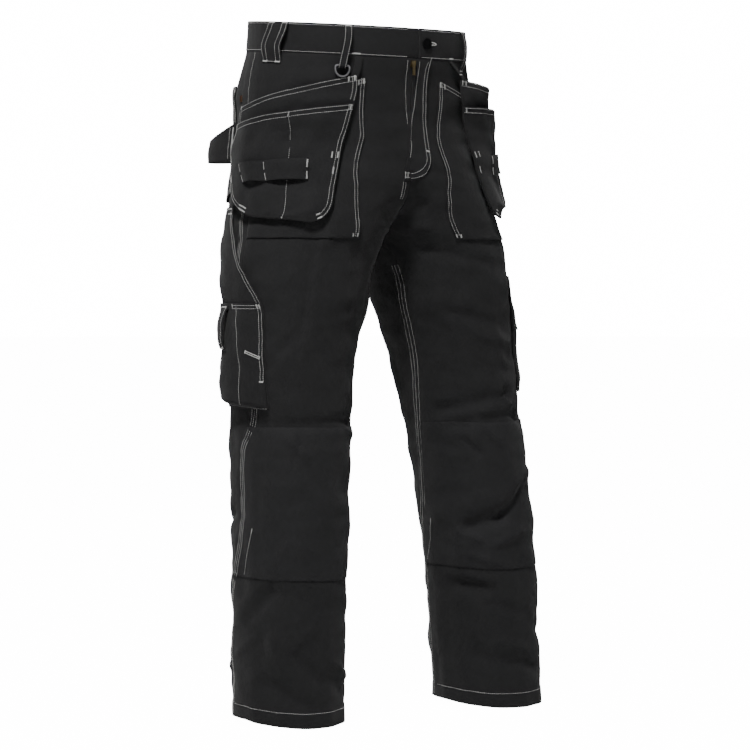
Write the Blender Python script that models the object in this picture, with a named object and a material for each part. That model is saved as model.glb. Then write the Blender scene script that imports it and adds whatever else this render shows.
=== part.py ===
"""Work trousers with two hanging tool pockets, as they stand when they are worn.

Metres, +Z up. The origin is the middle of the waist, the garment's front faces -Y and the
wearer's left is +X. Heights in the tables are millimetres above the hem.
"""
import math
from collections import namedtuple

import bmesh
import bpy
from mathutils import Vector

MM = 0.001
ORIGIN_HEIGHT = 1005.0   # the waistband's middle, above the hem
CROTCH_HEIGHT = 705.0
WAIST_SEAM = 982.0       # where the fronts and backs are sewn to the waistband
WAIST_TOP = 1027.0
CLOTH = 1.2              # wall of one layer of cloth
SEAM_GAP = 0.3           # space left between two pieces that are sewn together
ROUNDNESS = 0.94         # 1 is an ellipse, less is a squarer ring
HEM_DIP = 9.0            # the hem hangs lower over the instep
HEM_DIP_REACH = 160.0
FRONT_COLUMNS = 12       # cells across one front
BACK_COLUMNS = 10
LEFT, RIGHT = 1, -1      # the side of +X and the side of -X
SHARP = math.radians(50) # faces that turn more than this meet in a sharp edge

# One ring of a leg, or above the crotch one half of the trunk: how far its inner and outer
# edge lie from the middle plane, how deep it is in front and behind, and how the waist tilts.
Section = namedtuple("Section", "height inner outer front back tilt")
SECTIONS = (
    Section(0, 104, 260, 88, 90, 0),
    Section(120, 98, 258, 88, 92, 0),
    Section(210, 94, 255, 90, 92, 0),
    Section(300, 88, 250, 94, 91, 0),
    Section(345, 84, 248, 96, 90, 0),
    Section(390, 80, 246, 96, 90, 0),
    Section(435, 72, 242, 95, 93, 0),
    Section(480, 65, 243, 94, 96, 0),
    Section(525, 57, 242, 96, 99, 0),
    Section(570, 44, 238, 100, 105, 0),
    Section(613, 30, 236, 106, 112, 0),
    Section(640, 25, 236, 108, 116, 0),
    Section(680, 12, 230, 112, 128, 0),
    Section(705, 0, 223, 115, 137, 0),
    Section(735, -24, 214, 118, 146, 0),
    Section(760, -52, 207, 121, 152, 0),
    Section(790, -96, 199, 124, 159, 0),
    Section(825, -152, 194, 127, 165, 0.01),
    Section(860, -190, 190, 129, 168, 0.03),
    Section(900, -187, 187, 132, 168, 0.055),
    Section(945, -180, 180, 138, 160, 0.075),
    Section(985, -170, 170, 145, 151, 0.083),
    Section(1040, -167, 167, 147, 149, 0.083),
)

# How the legs stand: both sway together, and the left foot is a step ahead of the right.
Pose = namedtuple("Pose", "height sway_x sway_y stride")
POSES = (
    Pose(0, 27, -48, 6),
    Pose(210, 24, -43, 5),
    Pose(345, 19, -34, 4),
    Pose(525, 13, -23, 2),
    Pose(613, 10, -19, 1),
    Pose(705, 8, -15, 0),
    Pose(800, 4, -8, 0),
    Pose(900, 1, -2, 0),
    Pose(1040, 0, 0, 0),
)

# A soft trough or ridge of the cloth, on a straight line from one place of a leg to another.
Fold = namedtuple("Fold", "side angle_a height_a angle_b height_b depth width")
FOLDS = (
    Fold(-1, -30, 432, -125, 436, -4.0, 14),
    Fold(-1, -38, 120, -72, 25, 4.5, 22),
    Fold(-1, -34, 190, -6, 152, -5.0, 20),
    Fold(-1, -25, 60, -75, 28, -4.0, 18),
    Fold(-1, -95, 62, -135, 40, -3.5, 18),
    Fold(-1, 40, 392, 150, 375, -5.0, 20),
    Fold(-1, 60, 330, 165, 345, -4.0, 18),
    Fold(-1, 35, 120, 120, 90, -4.0, 20),
    Fold(1, -75, 470, -150, 446, -4.5, 15),
    Fold(1, -60, 440, -140, 425, -3.5, 14),
    Fold(1, -140, 268, -100, 285, -5.5, 18),
    Fold(1, -100, 285, -62, 330, -5.5, 18),
    Fold(1, -165, 180, -125, 174, -4.5, 18),
    Fold(1, -140, 72, -65, 55, -4.0, 18),
    Fold(1, 45, 400, 150, 372, -5.0, 20),
    Fold(1, 60, 335, 160, 330, -4.0, 18),
    Fold(1, 30, 105, 130, 125, -4.0, 20),
)
FOLD_RADIUS = 95.0       # turns a fold's angles into lengths round the leg

# Where the seams run round a leg, in degrees: 0 is the outer side, -90 the front, -180 the
# inner side. Both seams turn towards the back below the knee.
Seam = namedtuple("Seam", "height side inseam")
SEAMS = (
    Seam(0, 28, -201),
    Seam(185, 26, -201),
    Seam(230, 12, -199),
    Seam(276, 5, -193),
    Seam(310, 3, -186),
    Seam(400, 0, -179),
    Seam(447, -8, -172),
    Seam(535, -9, -161),
    Seam(600, -7, -160),
    Seam(680, -4, -170),
    Seam(705, -2, -180),
    Seam(860, 6, -180),
    Seam(1040, 8, -180),
)


def sample(table, height):
    """Read a table at a height, on a smooth curve through its rows."""
    last = len(table) - 1
    height = min(max(height, table[0].height), table[last].height)
    low = max(index for index in range(last) if table[index].height <= height)
    rows = [table[max(low - 1, 0)], table[low], table[low + 1], table[min(low + 2, last)]]
    before, start, end, after = rows
    span = end.height - start.height
    t = (height - start.height) / span
    values = []
    for column in range(1, len(start)):
        slope_start = (end[column] - before[column]) / (end.height - before.height)
        slope_end = (after[column] - start[column]) / (after.height - start.height)
        values.append(
            (1 + 2 * t) * (1 - t) ** 2 * start[column] + t * (1 - t) ** 2 * span * slope_start
            + t * t * (3 - 2 * t) * end[column] - t * t * (1 - t) * span * slope_end)
    return type(start)(height, *values)


def ring_at(height):
    """The section at a height. Above the crotch its inner edge goes no further than the other hip."""
    ring = sample(SECTIONS, height)
    return ring._replace(inner=max(ring.inner, -ring.outer))


def rounded(value):
    """A sine or cosine, drawn out towards the corners of the ring."""
    return math.copysign(abs(value) ** ROUNDNESS, value)


def base_point(side, angle, height):
    """A point of the outer surface with no folds, in millimetres."""
    ring = ring_at(height)
    pose = sample(POSES, height)
    centre = (ring.inner + ring.outer) / 2
    half_width = (ring.outer - ring.inner) / 2
    turn = math.radians(angle)
    across = centre + half_width * rounded(math.cos(turn))
    depth = ring.back if math.sin(turn) > 0 else ring.front
    along = depth * rounded(math.sin(turn))
    dip = HEM_DIP * max(0, -math.sin(turn)) * max(0, 1 - height / HEM_DIP_REACH) ** 2
    x = side * (across + SEAM_GAP / 2) + pose.sway_x
    y = along + pose.sway_y - side * pose.stride
    z = height - ORIGIN_HEIGHT + ring.tilt * along - dip
    return Vector((x, y, z))


def relief(side, angle, height):
    """How far the folds move the surface out at a place, in millimetres."""
    moved = 0.0
    for fold in FOLDS:
        if fold.side != side:
            continue
        turns = [math.radians(value - angle) * FOLD_RADIUS for value in (fold.angle_a, fold.angle_b)]
        rises = [fold.height_a - height, fold.height_b - height]
        run = turns[1] - turns[0]
        rise = rises[1] - rises[0]
        share = -(turns[0] * run + rises[0] * rise) / (run * run + rise * rise)
        share = min(max(share, 0.0), 1.0)
        distance = math.hypot(turns[0] + share * run, rises[0] + share * rise)
        moved += fold.depth * math.exp(-(distance / fold.width) ** 2)
    return moved


def skin(side, angle, height, out=0.0):
    """A point at a distance outside the surface, in metres."""
    step = 1.5
    out += relief(side, angle, height)
    point = base_point(side, angle, height)
    round_it = base_point(side, angle + step, height) - base_point(side, angle - step, height)
    up_it = base_point(side, angle, height + step) - base_point(side, angle, height - step)
    normal = side * round_it.cross(up_it).normalized()
    return (point + normal * out) * MM


def middle_angle(height):
    """Where a half of the trunk meets the middle plane, in degrees from its outer side."""
    ring = ring_at(height)
    share = (ring.inner + ring.outer) / (ring.outer - ring.inner)
    return math.degrees(math.acos(-max(0, min(1, share)) ** (1 / ROUNDNESS)))


def turned(angle):
    """A direction round the whole waist, -90 at the front and 0 on the left, as side and angle."""
    return (LEFT, angle) if angle <= 90 else (RIGHT, 180 - angle)


def front_spot(across, height):
    """The side and angle of the front's point that lies this far to the wearer's left."""
    ring = ring_at(height)
    local = across - sample(POSES, height).sway_x
    side = LEFT if local > 0 else RIGHT
    half_width = (ring.outer - ring.inner) / 2
    share = (abs(local) - (ring.inner + ring.outer) / 2) / half_width
    turn = math.copysign(min(abs(share), 1) ** (1 / ROUNDNESS), share)
    return side, -math.degrees(math.acos(turn))


def front_limits(height):
    """The angles of a front's inner edge and of its side seam."""
    seam = sample(SEAMS, height)
    inner = -middle_angle(height) if height > CROTCH_HEIGHT else seam.inseam
    return inner, seam.side


def back_limits(height):
    seam = sample(SEAMS, height)
    inner = middle_angle(height) if height > CROTCH_HEIGHT else seam.inseam + 360
    return seam.side, inner


def new_object(name, mesh, material):
    """Put a mesh in the garment's collection with its own material."""
    thing = bpy.data.objects.new(name, mesh)
    thing.data.materials.append(material)
    collection.objects.link(thing)
    return thing


def finish_mesh(name, shape):
    """Turn the faces outwards and make the mesh."""
    bmesh.ops.recalc_face_normals(shape, faces=shape.faces)
    if shape.calc_volume(signed=True) < 0:
        bmesh.ops.reverse_faces(shape, faces=shape.faces)
    mesh = bpy.data.meshes.new(name)
    shape.to_mesh(mesh)
    shape.free()
    return mesh


def cloth(name, columns, rows, place, material):
    """A closed wall of cloth: a flat grid gets two layers, and each point is laid in its place.

    place(column, row, outside) gives a point in metres.
    """
    shape = bmesh.new()
    bmesh.ops.create_grid(shape, x_segments=columns, y_segments=rows, size=0.5)
    raised = bmesh.ops.extrude_face_region(shape, geom=list(shape.faces), use_keep_orig=True)
    upper = [item for item in raised["geom"] if isinstance(item, bmesh.types.BMVert)]
    bmesh.ops.translate(shape, verts=upper, vec=(0, 0, 1))
    for vertex in shape.verts:
        column = round((vertex.co.x + 0.5) * columns)
        row = round((vertex.co.y + 0.5) * rows)
        vertex.co = place(column, row, vertex.co.z > 0.5)
    mesh = finish_mesh(name, shape)
    mesh.shade_smooth()
    mesh.set_sharp_from_angle(angle=SHARP)
    return new_object(name, mesh, material)


def laid(name, side, columns, rows, spot, material, wall=CLOTH):
    """A piece that follows one leg. spot(u, v) gives an angle, a height and its outer face's lift."""
    def place(column, row, outside):
        angle, height, out = spot(column / columns, row / rows)
        return skin(side, angle, height, out if outside else out - wall)
    return cloth(name, columns, rows, place, material)


def mix(start, end, share):
    return start + (end - start) * share


def hump(share):
    """0 at both ends and 1 in the middle."""
    return math.sin(math.pi * min(max(share, 0.0), 1.0))


def panel_heights():
    """The heights of the rows of the fronts and backs, closer just above the crotch."""
    stretches = ((0, 210, 7), (210, 430, 8), (430, 690, 9), (690, 760, 5), (760, WAIST_SEAM, 8))
    heights = [mix(low, high, step / steps) for low, high, steps in stretches
               for step in range(steps)]
    return heights + [WAIST_SEAM - SEAM_GAP]


def panel(name, side, columns, limits, material, heights, out=0.0):
    """A front or a back, or a layer on it, between its two seams."""
    half_gap = math.degrees(SEAM_GAP / 2 / FOLD_RADIUS)

    def place(column, row, outside):
        low, high = limits(heights[row])
        angle = mix(low + half_gap, high - half_gap, column / columns)
        return skin(side, angle, heights[row], out if outside else out - CLOTH)
    return cloth(name, columns, len(heights) - 1, place, material)


def make_fronts_and_backs():
    heights = panel_heights()
    for side, word in SIDES:
        panel("front_" + word, side, FRONT_COLUMNS, front_limits, plain_cloth("front_" + word), heights)
        panel("back_" + word, side, BACK_COLUMNS, back_limits, plain_cloth("back_" + word), heights)


KNEE_BOTTOM = 210.0
KNEE_TOP = 430.0
LAYER = SEAM_GAP + CLOTH  # outer face of a layer that lies on a front or a back


def make_knee_patches():
    """The second layer across the whole front of each knee, on the front's own points."""
    heights = [height for height in panel_heights() if KNEE_BOTTOM <= height <= KNEE_TOP]
    for side, word in SIDES:
        panel("knee_patch_" + word, side, FRONT_COLUMNS, front_limits, plain_cloth("knee_patch_" + word),
              heights, LAYER)


BAND_WALL = 2.4
BAND_FACE = 0.9          # the waistband stands this far outside the fronts and backs
BAND_END = -88.0         # where the left end of the waistband closes, over the right end
BAND_UNDERLAP = 18.0     # degrees that the right end runs on below the left
BAND_COLUMNS = 54


def make_waistband():
    """One band round the waist, whose right end dips under its left end at the button."""
    sweep = 360 + BAND_UNDERLAP

    def place(column, row, outside):
        turn = BAND_END + sweep * column / BAND_COLUMNS
        under = min(max((turn - BAND_END - 350) / 10, 0), 1)
        out = BAND_FACE - (BAND_WALL + SEAM_GAP) * under * under * (3 - 2 * under)
        height = mix(WAIST_SEAM, WAIST_TOP, row / 2)
        side, angle = turned(turn if turn <= 270 else turn - 360)
        return skin(side, angle, height, out if outside else out - BAND_WALL)
    return cloth("waistband", BAND_COLUMNS, 2, place, plain_cloth("waistband"))


FLY_WIDTH = 37.0         # at its top
FLY_WAIST = 27.0         # and from FLY_TAPER below it down to the curve
FLY_TAPER = 120.0
FLY_TOP = 980.0
FLY_CURVE = 840.0        # below here the sewn edge turns in to the middle seam
FLY_END = 798.0
FLY_CURL = 0.93          # how much of its width the curve takes away
FLY_EDGE = 4.0           # the opening edge lies just left of the middle
FLY_LIFT = 2.1
FLY_COLUMNS = 3
FLY_ROWS = 9


def make_fly():
    """The fly's doubled edge on the left front, closed over the zip."""
    def place(column, row, outside):
        height = mix(FLY_END, FLY_TOP, row / FLY_ROWS)
        drop = max(0.0, (FLY_CURVE - height) / (FLY_CURVE - FLY_END))
        width = mix(FLY_WIDTH, FLY_WAIST, min(1, (FLY_TOP - height) / FLY_TAPER))
        width *= math.sqrt(1 - FLY_CURL * drop ** 2)
        side, angle = front_spot(FLY_EDGE + width * column / FLY_COLUMNS, height)
        return skin(side, angle, height, FLY_LIFT if outside else FLY_LIFT - CLOTH)
    return cloth("fly", FLY_COLUMNS, FLY_ROWS, place, plain_cloth("fly"))


# The line along which a front pocket's patch is sewn down, from its slash to its lower edge.
PocketEdge = namedtuple("PocketEdge", "height right left")
POCKET_EDGES = (
    PocketEdge(705, -95, -98),
    PocketEdge(735, -89, -97),
    PocketEdge(770, -81, -88),
    PocketEdge(800, -74, -80),
    PocketEdge(825, -70, -77),
    PocketEdge(870, -67, -74),
    PocketEdge(951, -66, -72),
)
SLASH_FRONT = 951.0      # the pocket mouth slants down from here to the side seam
SLASH_SIDE = 872.0
PATCH_BOTTOM = 705.0
PATCH_LIFT = 2.4


def make_front_pockets():
    """The patches below the slanted pocket mouths, from the mouth to the top of the thigh."""
    for side, word in SIDES:
        def spot(u, v, side=side):
            height = mix(PATCH_BOTTOM, mix(SLASH_FRONT, SLASH_SIDE, u), v)
            edge = sample(POCKET_EDGES, height)
            inner = edge.left if side == LEFT else edge.right
            outer = sample(SEAMS, height).side - 1.0
            return mix(inner, outer, u), height, PATCH_LIFT
        laid("front_pocket_" + word, side, 9, 9, spot, plain_cloth("front_pocket_" + word))


# A tool pocket that hangs in front of the hip: the line from its front edge to its back edge
# at each level, from the bottom to the mouth of its back ply.
Level = namedtuple("Level", "front_angle front_height back_angle back_height")
HOLSTER_LEVELS = (
    Level(-57, 731, -10, 741),
    Level(-66, 740, 1, 747),
    Level(-69, 756, 11, 762),
    Level(-66, 785, 17, 782),
    Level(-63, 815, 19, 808),
    Level(-61, 850, 17, 838),
    Level(-62, 880, 14, 858),
    Level(-62, 909, 12, 873),
    Level(-62, 931, 11, 885),
    Level(-61, 954, 10, 898),
)
HOLSTER_TOP = len(HOLSTER_LEVELS) - 1
HOLSTER_MOUTH = 7        # the level of the front ply's mouth
HOLSTER_COLUMNS = 12     # cells across a back ply
POUCH_COLUMNS = 20       # and across a front ply
HOLSTER_SPLIT = 0.45     # the seam that parts the front ply into two pockets, from its front edge
HOLSTER_WALL = 1.5
POUCH_DEPTH = 11.0
# How far each tool pocket's back ply hangs off the front: at its front edge and at its back.
HOLSTER_HANG = {RIGHT: (8.0, 9.5), LEFT: (12.0, 31.0)}
HOLSTER_DROOP = 0.1      # its bottom hangs this share further off than its mouth


def holster_spot(side, u, level):
    """The angle, height and lift of the back ply's outer face."""
    below = min(int(level), HOLSTER_TOP - 1)
    rows = zip(HOLSTER_LEVELS[below], HOLSTER_LEVELS[below + 1])
    line = Level(*(mix(start, end, level - below) for start, end in rows))
    near, far = HOLSTER_HANG[side]
    ease = u * u * (3 - 2 * u)
    droop = 1 + HOLSTER_DROOP * (1 - level / HOLSTER_TOP)
    return (mix(line.front_angle, line.back_angle, u), mix(line.front_height, line.back_height, u),
            mix(near, far, ease) * droop)


def pouch_lift(u, level):
    """How far the front ply stands off the back ply: two pockets, widest at the mouth."""
    part = u / HOLSTER_SPLIT if u < HOLSTER_SPLIT else (u - HOLSTER_SPLIT) / (1 - HOLSTER_SPLIT)
    return POUCH_DEPTH * hump(part) ** 0.8 * (level / HOLSTER_MOUTH) ** 0.8


def make_holsters():
    """The hanging tool pockets: a back ply, a front ply with two pockets, and a band of loops."""
    for side, word in SIDES:
        def back(u, v, side=side):
            return holster_spot(side, u, HOLSTER_TOP * v)

        def front(u, v, side=side):
            angle, height, out = holster_spot(side, u, HOLSTER_MOUTH * v)
            return angle, height, out + SEAM_GAP + HOLSTER_WALL + pouch_lift(u, HOLSTER_MOUTH * v)
        name = "holster_back_" + word
        laid(name, side, HOLSTER_COLUMNS, HOLSTER_TOP, back, plain_cloth(name), HOLSTER_WALL)
        name = "holster_front_" + word
        laid(name, side, POUCH_COLUMNS, HOLSTER_MOUTH, front, plain_cloth(name), HOLSTER_WALL)


TOOL_BAND_LOW = 3.55     # levels of the band of tool loops on the front ply
TOOL_BAND_HIGH = 4.6
TOOL_BAND_TACKS = (0.33, 0.62, 0.90)   # where the band is sewn down, from the front edge
TOOL_LOOP_DEPTH = 9.0


def make_tool_bands():
    """A band across each tool pocket, sewn down at its tacks and loose between them."""
    start, end = TOOL_BAND_TACKS[0], TOOL_BAND_TACKS[-1]
    for side, word in SIDES:
        def spot(u, v, side=side):
            across = mix(start, end, u)
            level = mix(TOOL_BAND_LOW, TOOL_BAND_HIGH, v)
            angle, height, out = holster_spot(side, across, level)
            gap = next(index for index in range(1, 3) if across <= TOOL_BAND_TACKS[index] + 1e-6)
            low, high = TOOL_BAND_TACKS[gap - 1:gap + 1]
            bulge = TOOL_LOOP_DEPTH * hump((across - low) / (high - low)) ** 0.7
            seat = out + SEAM_GAP + HOLSTER_WALL + pouch_lift(across, level)
            return angle, height, seat + 0.5 + CLOTH + bulge
        name = "tool_band_" + word
        laid(name, side, POUCH_COLUMNS, 1, spot, plain_cloth(name))


# The narrow tapes that carry the tool pockets from the waistband.
TapePoint = namedtuple("TapePoint", "height angle lift")
STRAP_PATHS = {
    RIGHT: (TapePoint(946, -59.5, 6.0), TapePoint(957, -60.3, 5.2), TapePoint(969, -60.5, 3.6),
            TapePoint(981, -60.5, 1.6)),
    LEFT: (TapePoint(946, -54.5, 9.9), TapePoint(957, -56.5, 8.4), TapePoint(969, -60.5, 5.0),
           TapePoint(981, -65, 1.6)),
}
STRAP_WIDTH = 9.0


def make_straps():
    for side, word in SIDES:
        path = STRAP_PATHS[side]

        def spot(u, v, side=side, path=path):
            point = sample(path, mix(path[0].height, path[-1].height, v))
            spread = math.degrees(STRAP_WIDTH / 140) * (u - 0.5)
            return point.angle + spread, point.height, point.lift
        name = "holster_strap_" + word
        laid(name, side, 2, 6, spot, plain_cloth(name))


# A belt loop's way down the outside of the waistband: heights and lifts of its middle line.
Bend = namedtuple("Bend", "height lift")
LOOP_PATH = (Bend(1026, 2.2), Bend(1020, 6.4), Bend(1010, 9.2), Bend(999, 9.6), Bend(988, 8.8),
             Bend(978, 5.6), Bend(970, 1.4), Bend(966, 1.2))
LOOP_WALL = 1.4
RING_PLACE = 52.5        # degrees from the right side to the loop that holds the D-ring
BAR_HEIGHT = 966.0       # the D-ring's bar, in the turned-up end of the right front loop
BAR_LIFT = 5.6
BAR_RADIUS = 1.6
FOLD_OVER = 2.9          # the loop's middle line turns round the bar at this radius
BeltLoop = namedtuple("BeltLoop", "name turn width")
BELT_LOOPS = (
    BeltLoop("belt_loop_side_right", 180 + 8.5, 40),
    BeltLoop("belt_loop_side_left", -8.5, 40),
    BeltLoop("belt_loop_front_right", 180 + RING_PLACE, 11),
    BeltLoop("belt_loop_front_left", -53.0, 11),
    BeltLoop("belt_loop_back", 90, 14),
)
WAIST_RADIUS = 160.0     # turns a width on the waistband into degrees


def around_bar():
    """The right front loop runs down, round the D-ring's bar and up again behind itself."""
    down = [Bend(1026, 2.2), Bend(1019, 6.8), Bend(1008, 9.2), Bend(993, 9.4), Bend(978, 8.6)]
    turn = [Bend(BAR_HEIGHT + FOLD_OVER * math.cos(bend), BAR_LIFT + FOLD_OVER * math.sin(bend))
            for bend in (math.radians(90 + 30 * step) for step in range(7))]
    return down + turn + [Bend(973, 2.2), Bend(979, 1.3)]


def make_belt_loops():
    """Strips that follow a bent path down the waistband, with room for a belt behind them."""
    for loop in BELT_LOOPS:
        path = around_bar() if loop.name == "belt_loop_front_right" else LOOP_PATH
        steps = 4 if loop.width > 20 else 1

        def place(column, row, outside, path=path, loop=loop, steps=steps):
            before = path[max(row - 1, 0)]
            after = path[min(row + 1, len(path) - 1)]
            run = math.hypot(after.height - before.height, after.lift - before.lift)
            shift = LOOP_WALL / 2 if outside else -LOOP_WALL / 2
            height = path[row].height + shift * (after.lift - before.lift) / run
            lift = path[row].lift - shift * (after.height - before.height) / run
            spread = math.degrees(loop.width / WAIST_RADIUS) * (column / steps - 0.5)
            side, angle = turned(loop.turn + spread)
            return skin(side, angle, height, lift)
        cloth(loop.name, steps, len(path) - 1, place, plain_cloth(loop.name))


RING_HALF_WIDTH = 10.5
RING_TILT = 16.0         # the ring leans on the tool pocket below it


def frame_at(side, angle, height, out):
    """A place on the surface, with the directions round the body, up and outwards."""
    point = skin(side, angle, height, out)
    outward = (skin(side, angle, height, out + 1) - point).normalized()
    around = (skin(side, angle + 0.5, height, out) - point).normalized() * side
    return point, around, outward.cross(around).normalized(), outward


def hanging(around, outward, tilt):
    """The upward direction of a piece that hangs from an axis, held off by a tilt in degrees."""
    level = (outward - outward.dot(Vector((0, 0, 1))) * Vector((0, 0, 1))).normalized()
    turn = math.radians(tilt)
    up = Vector((0, 0, math.cos(turn))) - level * math.sin(turn)
    return (up - up.dot(around) * around).normalized()


def make_dring():
    """A bent wire D that hangs from its straight bar; its origin is on the bar."""
    centre, around, _, outward = frame_at(RIGHT, -RING_PLACE, BAR_HEIGHT, BAR_LIFT)
    up = hanging(around, outward, RING_TILT)
    corner = 3.0
    reach = RING_HALF_WIDTH * MM
    points = [(-reach + corner * MM, 0), (reach - corner * MM, 0)]
    points += [(reach - corner * MM * (1 - math.sin(bend)), -corner * MM * (1 - math.cos(bend)))
               for bend in (math.radians(45), math.radians(90))]
    points += [(reach * math.cos(bend), -5 * MM - reach * 1.15 * math.sin(bend))
               for bend in (math.radians(step * 18) for step in range(11))]
    points += [(-reach + corner * MM * (1 - math.sin(bend)), -corner * MM * (1 - math.cos(bend)))
               for bend in (math.radians(90), math.radians(45))]
    curve = bpy.data.curves.new("dring", "CURVE")
    curve.dimensions = "3D"
    curve.bevel_depth = BAR_RADIUS * MM
    curve.bevel_resolution = 2
    spline = curve.splines.new("POLY")
    spline.points.add(len(points) - 1)
    spline.use_cyclic_u = True
    for target, (across, rise) in zip(spline.points, points):
        target.co = (*(around * across + up * rise), 1)
    ring = new_object("dring", curve, painted("dring", (0.03, 0.03, 0.033), 0.4, 0.9))
    ring.location = centre


ZIP_HEIGHT = 974.0
ZIP_ACROSS = -3.5
SLIDER_SIZE = (7.0, 3.0, 9.0)
TAB_SIZE = (4.6, 1.0, 15.0)
TAB_EYE = 0.8            # the tab turns this far below its top


def block(name, size, centre, axes, material, bevel):
    """A small bevelled block, its sides along three given directions."""
    shape = bmesh.new()
    bmesh.ops.create_cube(shape, size=1)
    for vertex in shape.verts:
        vertex.co = sum((axis * vertex.co[index] * size[index] * MM
                         for index, axis in enumerate(axes)), Vector())
    bmesh.ops.bevel(shape, geom=list(shape.edges), offset=bevel * MM, segments=2, affect="EDGES",
                    profile=0.5)
    thing = new_object(name, finish_mesh(name, shape), material)
    thing.location = centre
    return thing


def make_zip():
    """The zip's slider, just below the waistband, and the tab that hangs from it."""
    side, angle = front_spot(ZIP_ACROSS, ZIP_HEIGHT)
    centre, around, up, outward = frame_at(side, angle, ZIP_HEIGHT, 0.8 + SLIDER_SIZE[1] / 2)
    gold = painted("zip_slider", (0.45, 0.33, 0.16), 0.35, 1.0)
    block("zip_slider", SLIDER_SIZE, centre, (around, outward, up), gold, 0.7)
    pivot = centre + (outward * (SLIDER_SIZE[1] / 2 + 0.6 + TAB_SIZE[1] / 2) - up * 2.0) * MM
    gold = painted("zip_tab", (0.45, 0.33, 0.16), 0.35, 1.0)
    up = hanging(around, outward, 0)
    tab = block("zip_tab", TAB_SIZE, pivot, (around, up.cross(around), up), gold, 0.3)
    for vertex in tab.data.vertices:
        vertex.co -= up * (TAB_SIZE[2] / 2 - TAB_EYE) * MM


BUTTON_TURN = -84.0
BUTTON_HEIGHT = 1004.5
BUTTON_RADIUS = 8.5
BUTTON_THICKNESS = 2.6


def make_button():
    centre, around, up, outward = frame_at(LEFT, BUTTON_TURN, BUTTON_HEIGHT,
                                           BAND_FACE + 0.5 + BUTTON_THICKNESS / 2)
    shape = bmesh.new()
    bmesh.ops.create_cone(shape, cap_ends=True, segments=28, radius1=BUTTON_RADIUS * MM,
                          radius2=BUTTON_RADIUS * MM, depth=BUTTON_THICKNESS * MM)
    rims = [edge for edge in shape.edges if abs(edge.verts[0].co.z - edge.verts[1].co.z) < 1e-6]
    bmesh.ops.bevel(shape, geom=rims, offset=0.6 * MM, segments=2, affect="EDGES", profile=0.5)
    for vertex in shape.verts:
        vertex.co = around * vertex.co.x + up * vertex.co.y + outward * vertex.co.z
    button = new_object("button", finish_mesh("button", shape),
                        painted("button", (0.02, 0.02, 0.022), 0.35, 0.6))
    button.location = centre


# The front edge of the long pocket on the right thigh. It slants from the side seam's top to
# the front of the box pocket, and its back edge stays behind the side seam.
RulerEdge = namedtuple("RulerEdge", "height front lift")
RULER_EDGES = (
    RulerEdge(456, -31, 1.8),
    RulerEdge(500, -28, 1.8),
    RulerEdge(555, -24, 1.8),
    RulerEdge(603, -20, 3.0),
    RulerEdge(632, -12, 6.5),
    RulerEdge(669, 1, 9.0),
    RulerEdge(702, 11, 9.0),
    RulerEdge(738, 20, 5.5),
    RulerEdge(752, 22, 3.0),
)
RULER_BACK = 58.0
RULER_SEAT = 1.8         # the lift of its back edge, which is sewn down
RULER_SWELL = 4.0
BOX_TOP = 610.0          # the mouth of the box pocket on the long pocket
BOX_BOTTOM = 457.0
BOX_BACK = 46.0
BOX_DEPTH = 10.0
REAR_LOOP_FRONT = 26.0   # a tool loop stands out on the box pocket, behind the outer side
REAR_LOOP_BACK = 40.0
REAR_LOOP_LOW = 541.0
REAR_LOOP_DEPTH = 13.0


def make_thigh_pockets():
    """The long pocket on the right thigh, the box pocket on it and the tool loop behind."""
    low, high = RULER_EDGES[0].height, RULER_EDGES[-1].height

    def lift_at(angle, height):
        edge = sample(RULER_EDGES, height)
        u = (angle - edge.front) / (RULER_BACK - edge.front)
        v = (height - low) / (high - low)
        return mix(edge.lift, RULER_SEAT, u) + RULER_SWELL * hump(u) * hump(v)

    def box_lift(u, v, angle, height):
        swell = BOX_DEPTH * hump(u) ** 0.7 * min(1, 0.15 + 1.2 * v)
        return lift_at(angle, height) + SEAM_GAP + CLOTH + 0.7 + swell

    def back_ply(u, v):
        height = mix(low, high, v)
        angle = mix(sample(RULER_EDGES, height).front, RULER_BACK, u)
        return angle, height, lift_at(angle, height)

    def box(u, v):
        height = mix(BOX_BOTTOM, BOX_TOP, v)
        angle = mix(sample(RULER_EDGES, height).front + 0.5, BOX_BACK, u)
        return angle, height, box_lift(u, v, angle, height)

    def rear_loop(u, v):
        height = mix(REAR_LOOP_LOW, BOX_TOP - 4, v)
        angle = mix(REAR_LOOP_FRONT, REAR_LOOP_BACK, u)
        front = sample(RULER_EDGES, height).front
        box_u = (angle - front) / (BOX_BACK - front)
        box_v = (height - BOX_BOTTOM) / (BOX_TOP - BOX_BOTTOM)
        seat = box_lift(box_u, box_v, angle, height) + SEAM_GAP + CLOTH + 0.9
        return angle, height, seat + REAR_LOOP_DEPTH * hump(v) ** 0.7
    laid("ruler_pocket", RIGHT, 9, 12, back_ply, plain_cloth("ruler_pocket"))
    laid("thigh_box_pocket", RIGHT, 10, 6, box, plain_cloth("thigh_box_pocket"))
    laid("thigh_tool_loop", RIGHT, 2, 10, rear_loop, plain_cloth("thigh_tool_loop"))


CARGO_BOTTOM = 472.0
CARGO_TOP = 632.0
CARGO_FRONT = -41.0
CARGO_BACK = 44.0
CARGO_DEPTH = 8.0
CARGO_SEAT = 1.6         # the lift of its sewn edges
FLAP_BOTTOM = 566.0
FLAP_TOP = 650.0


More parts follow.
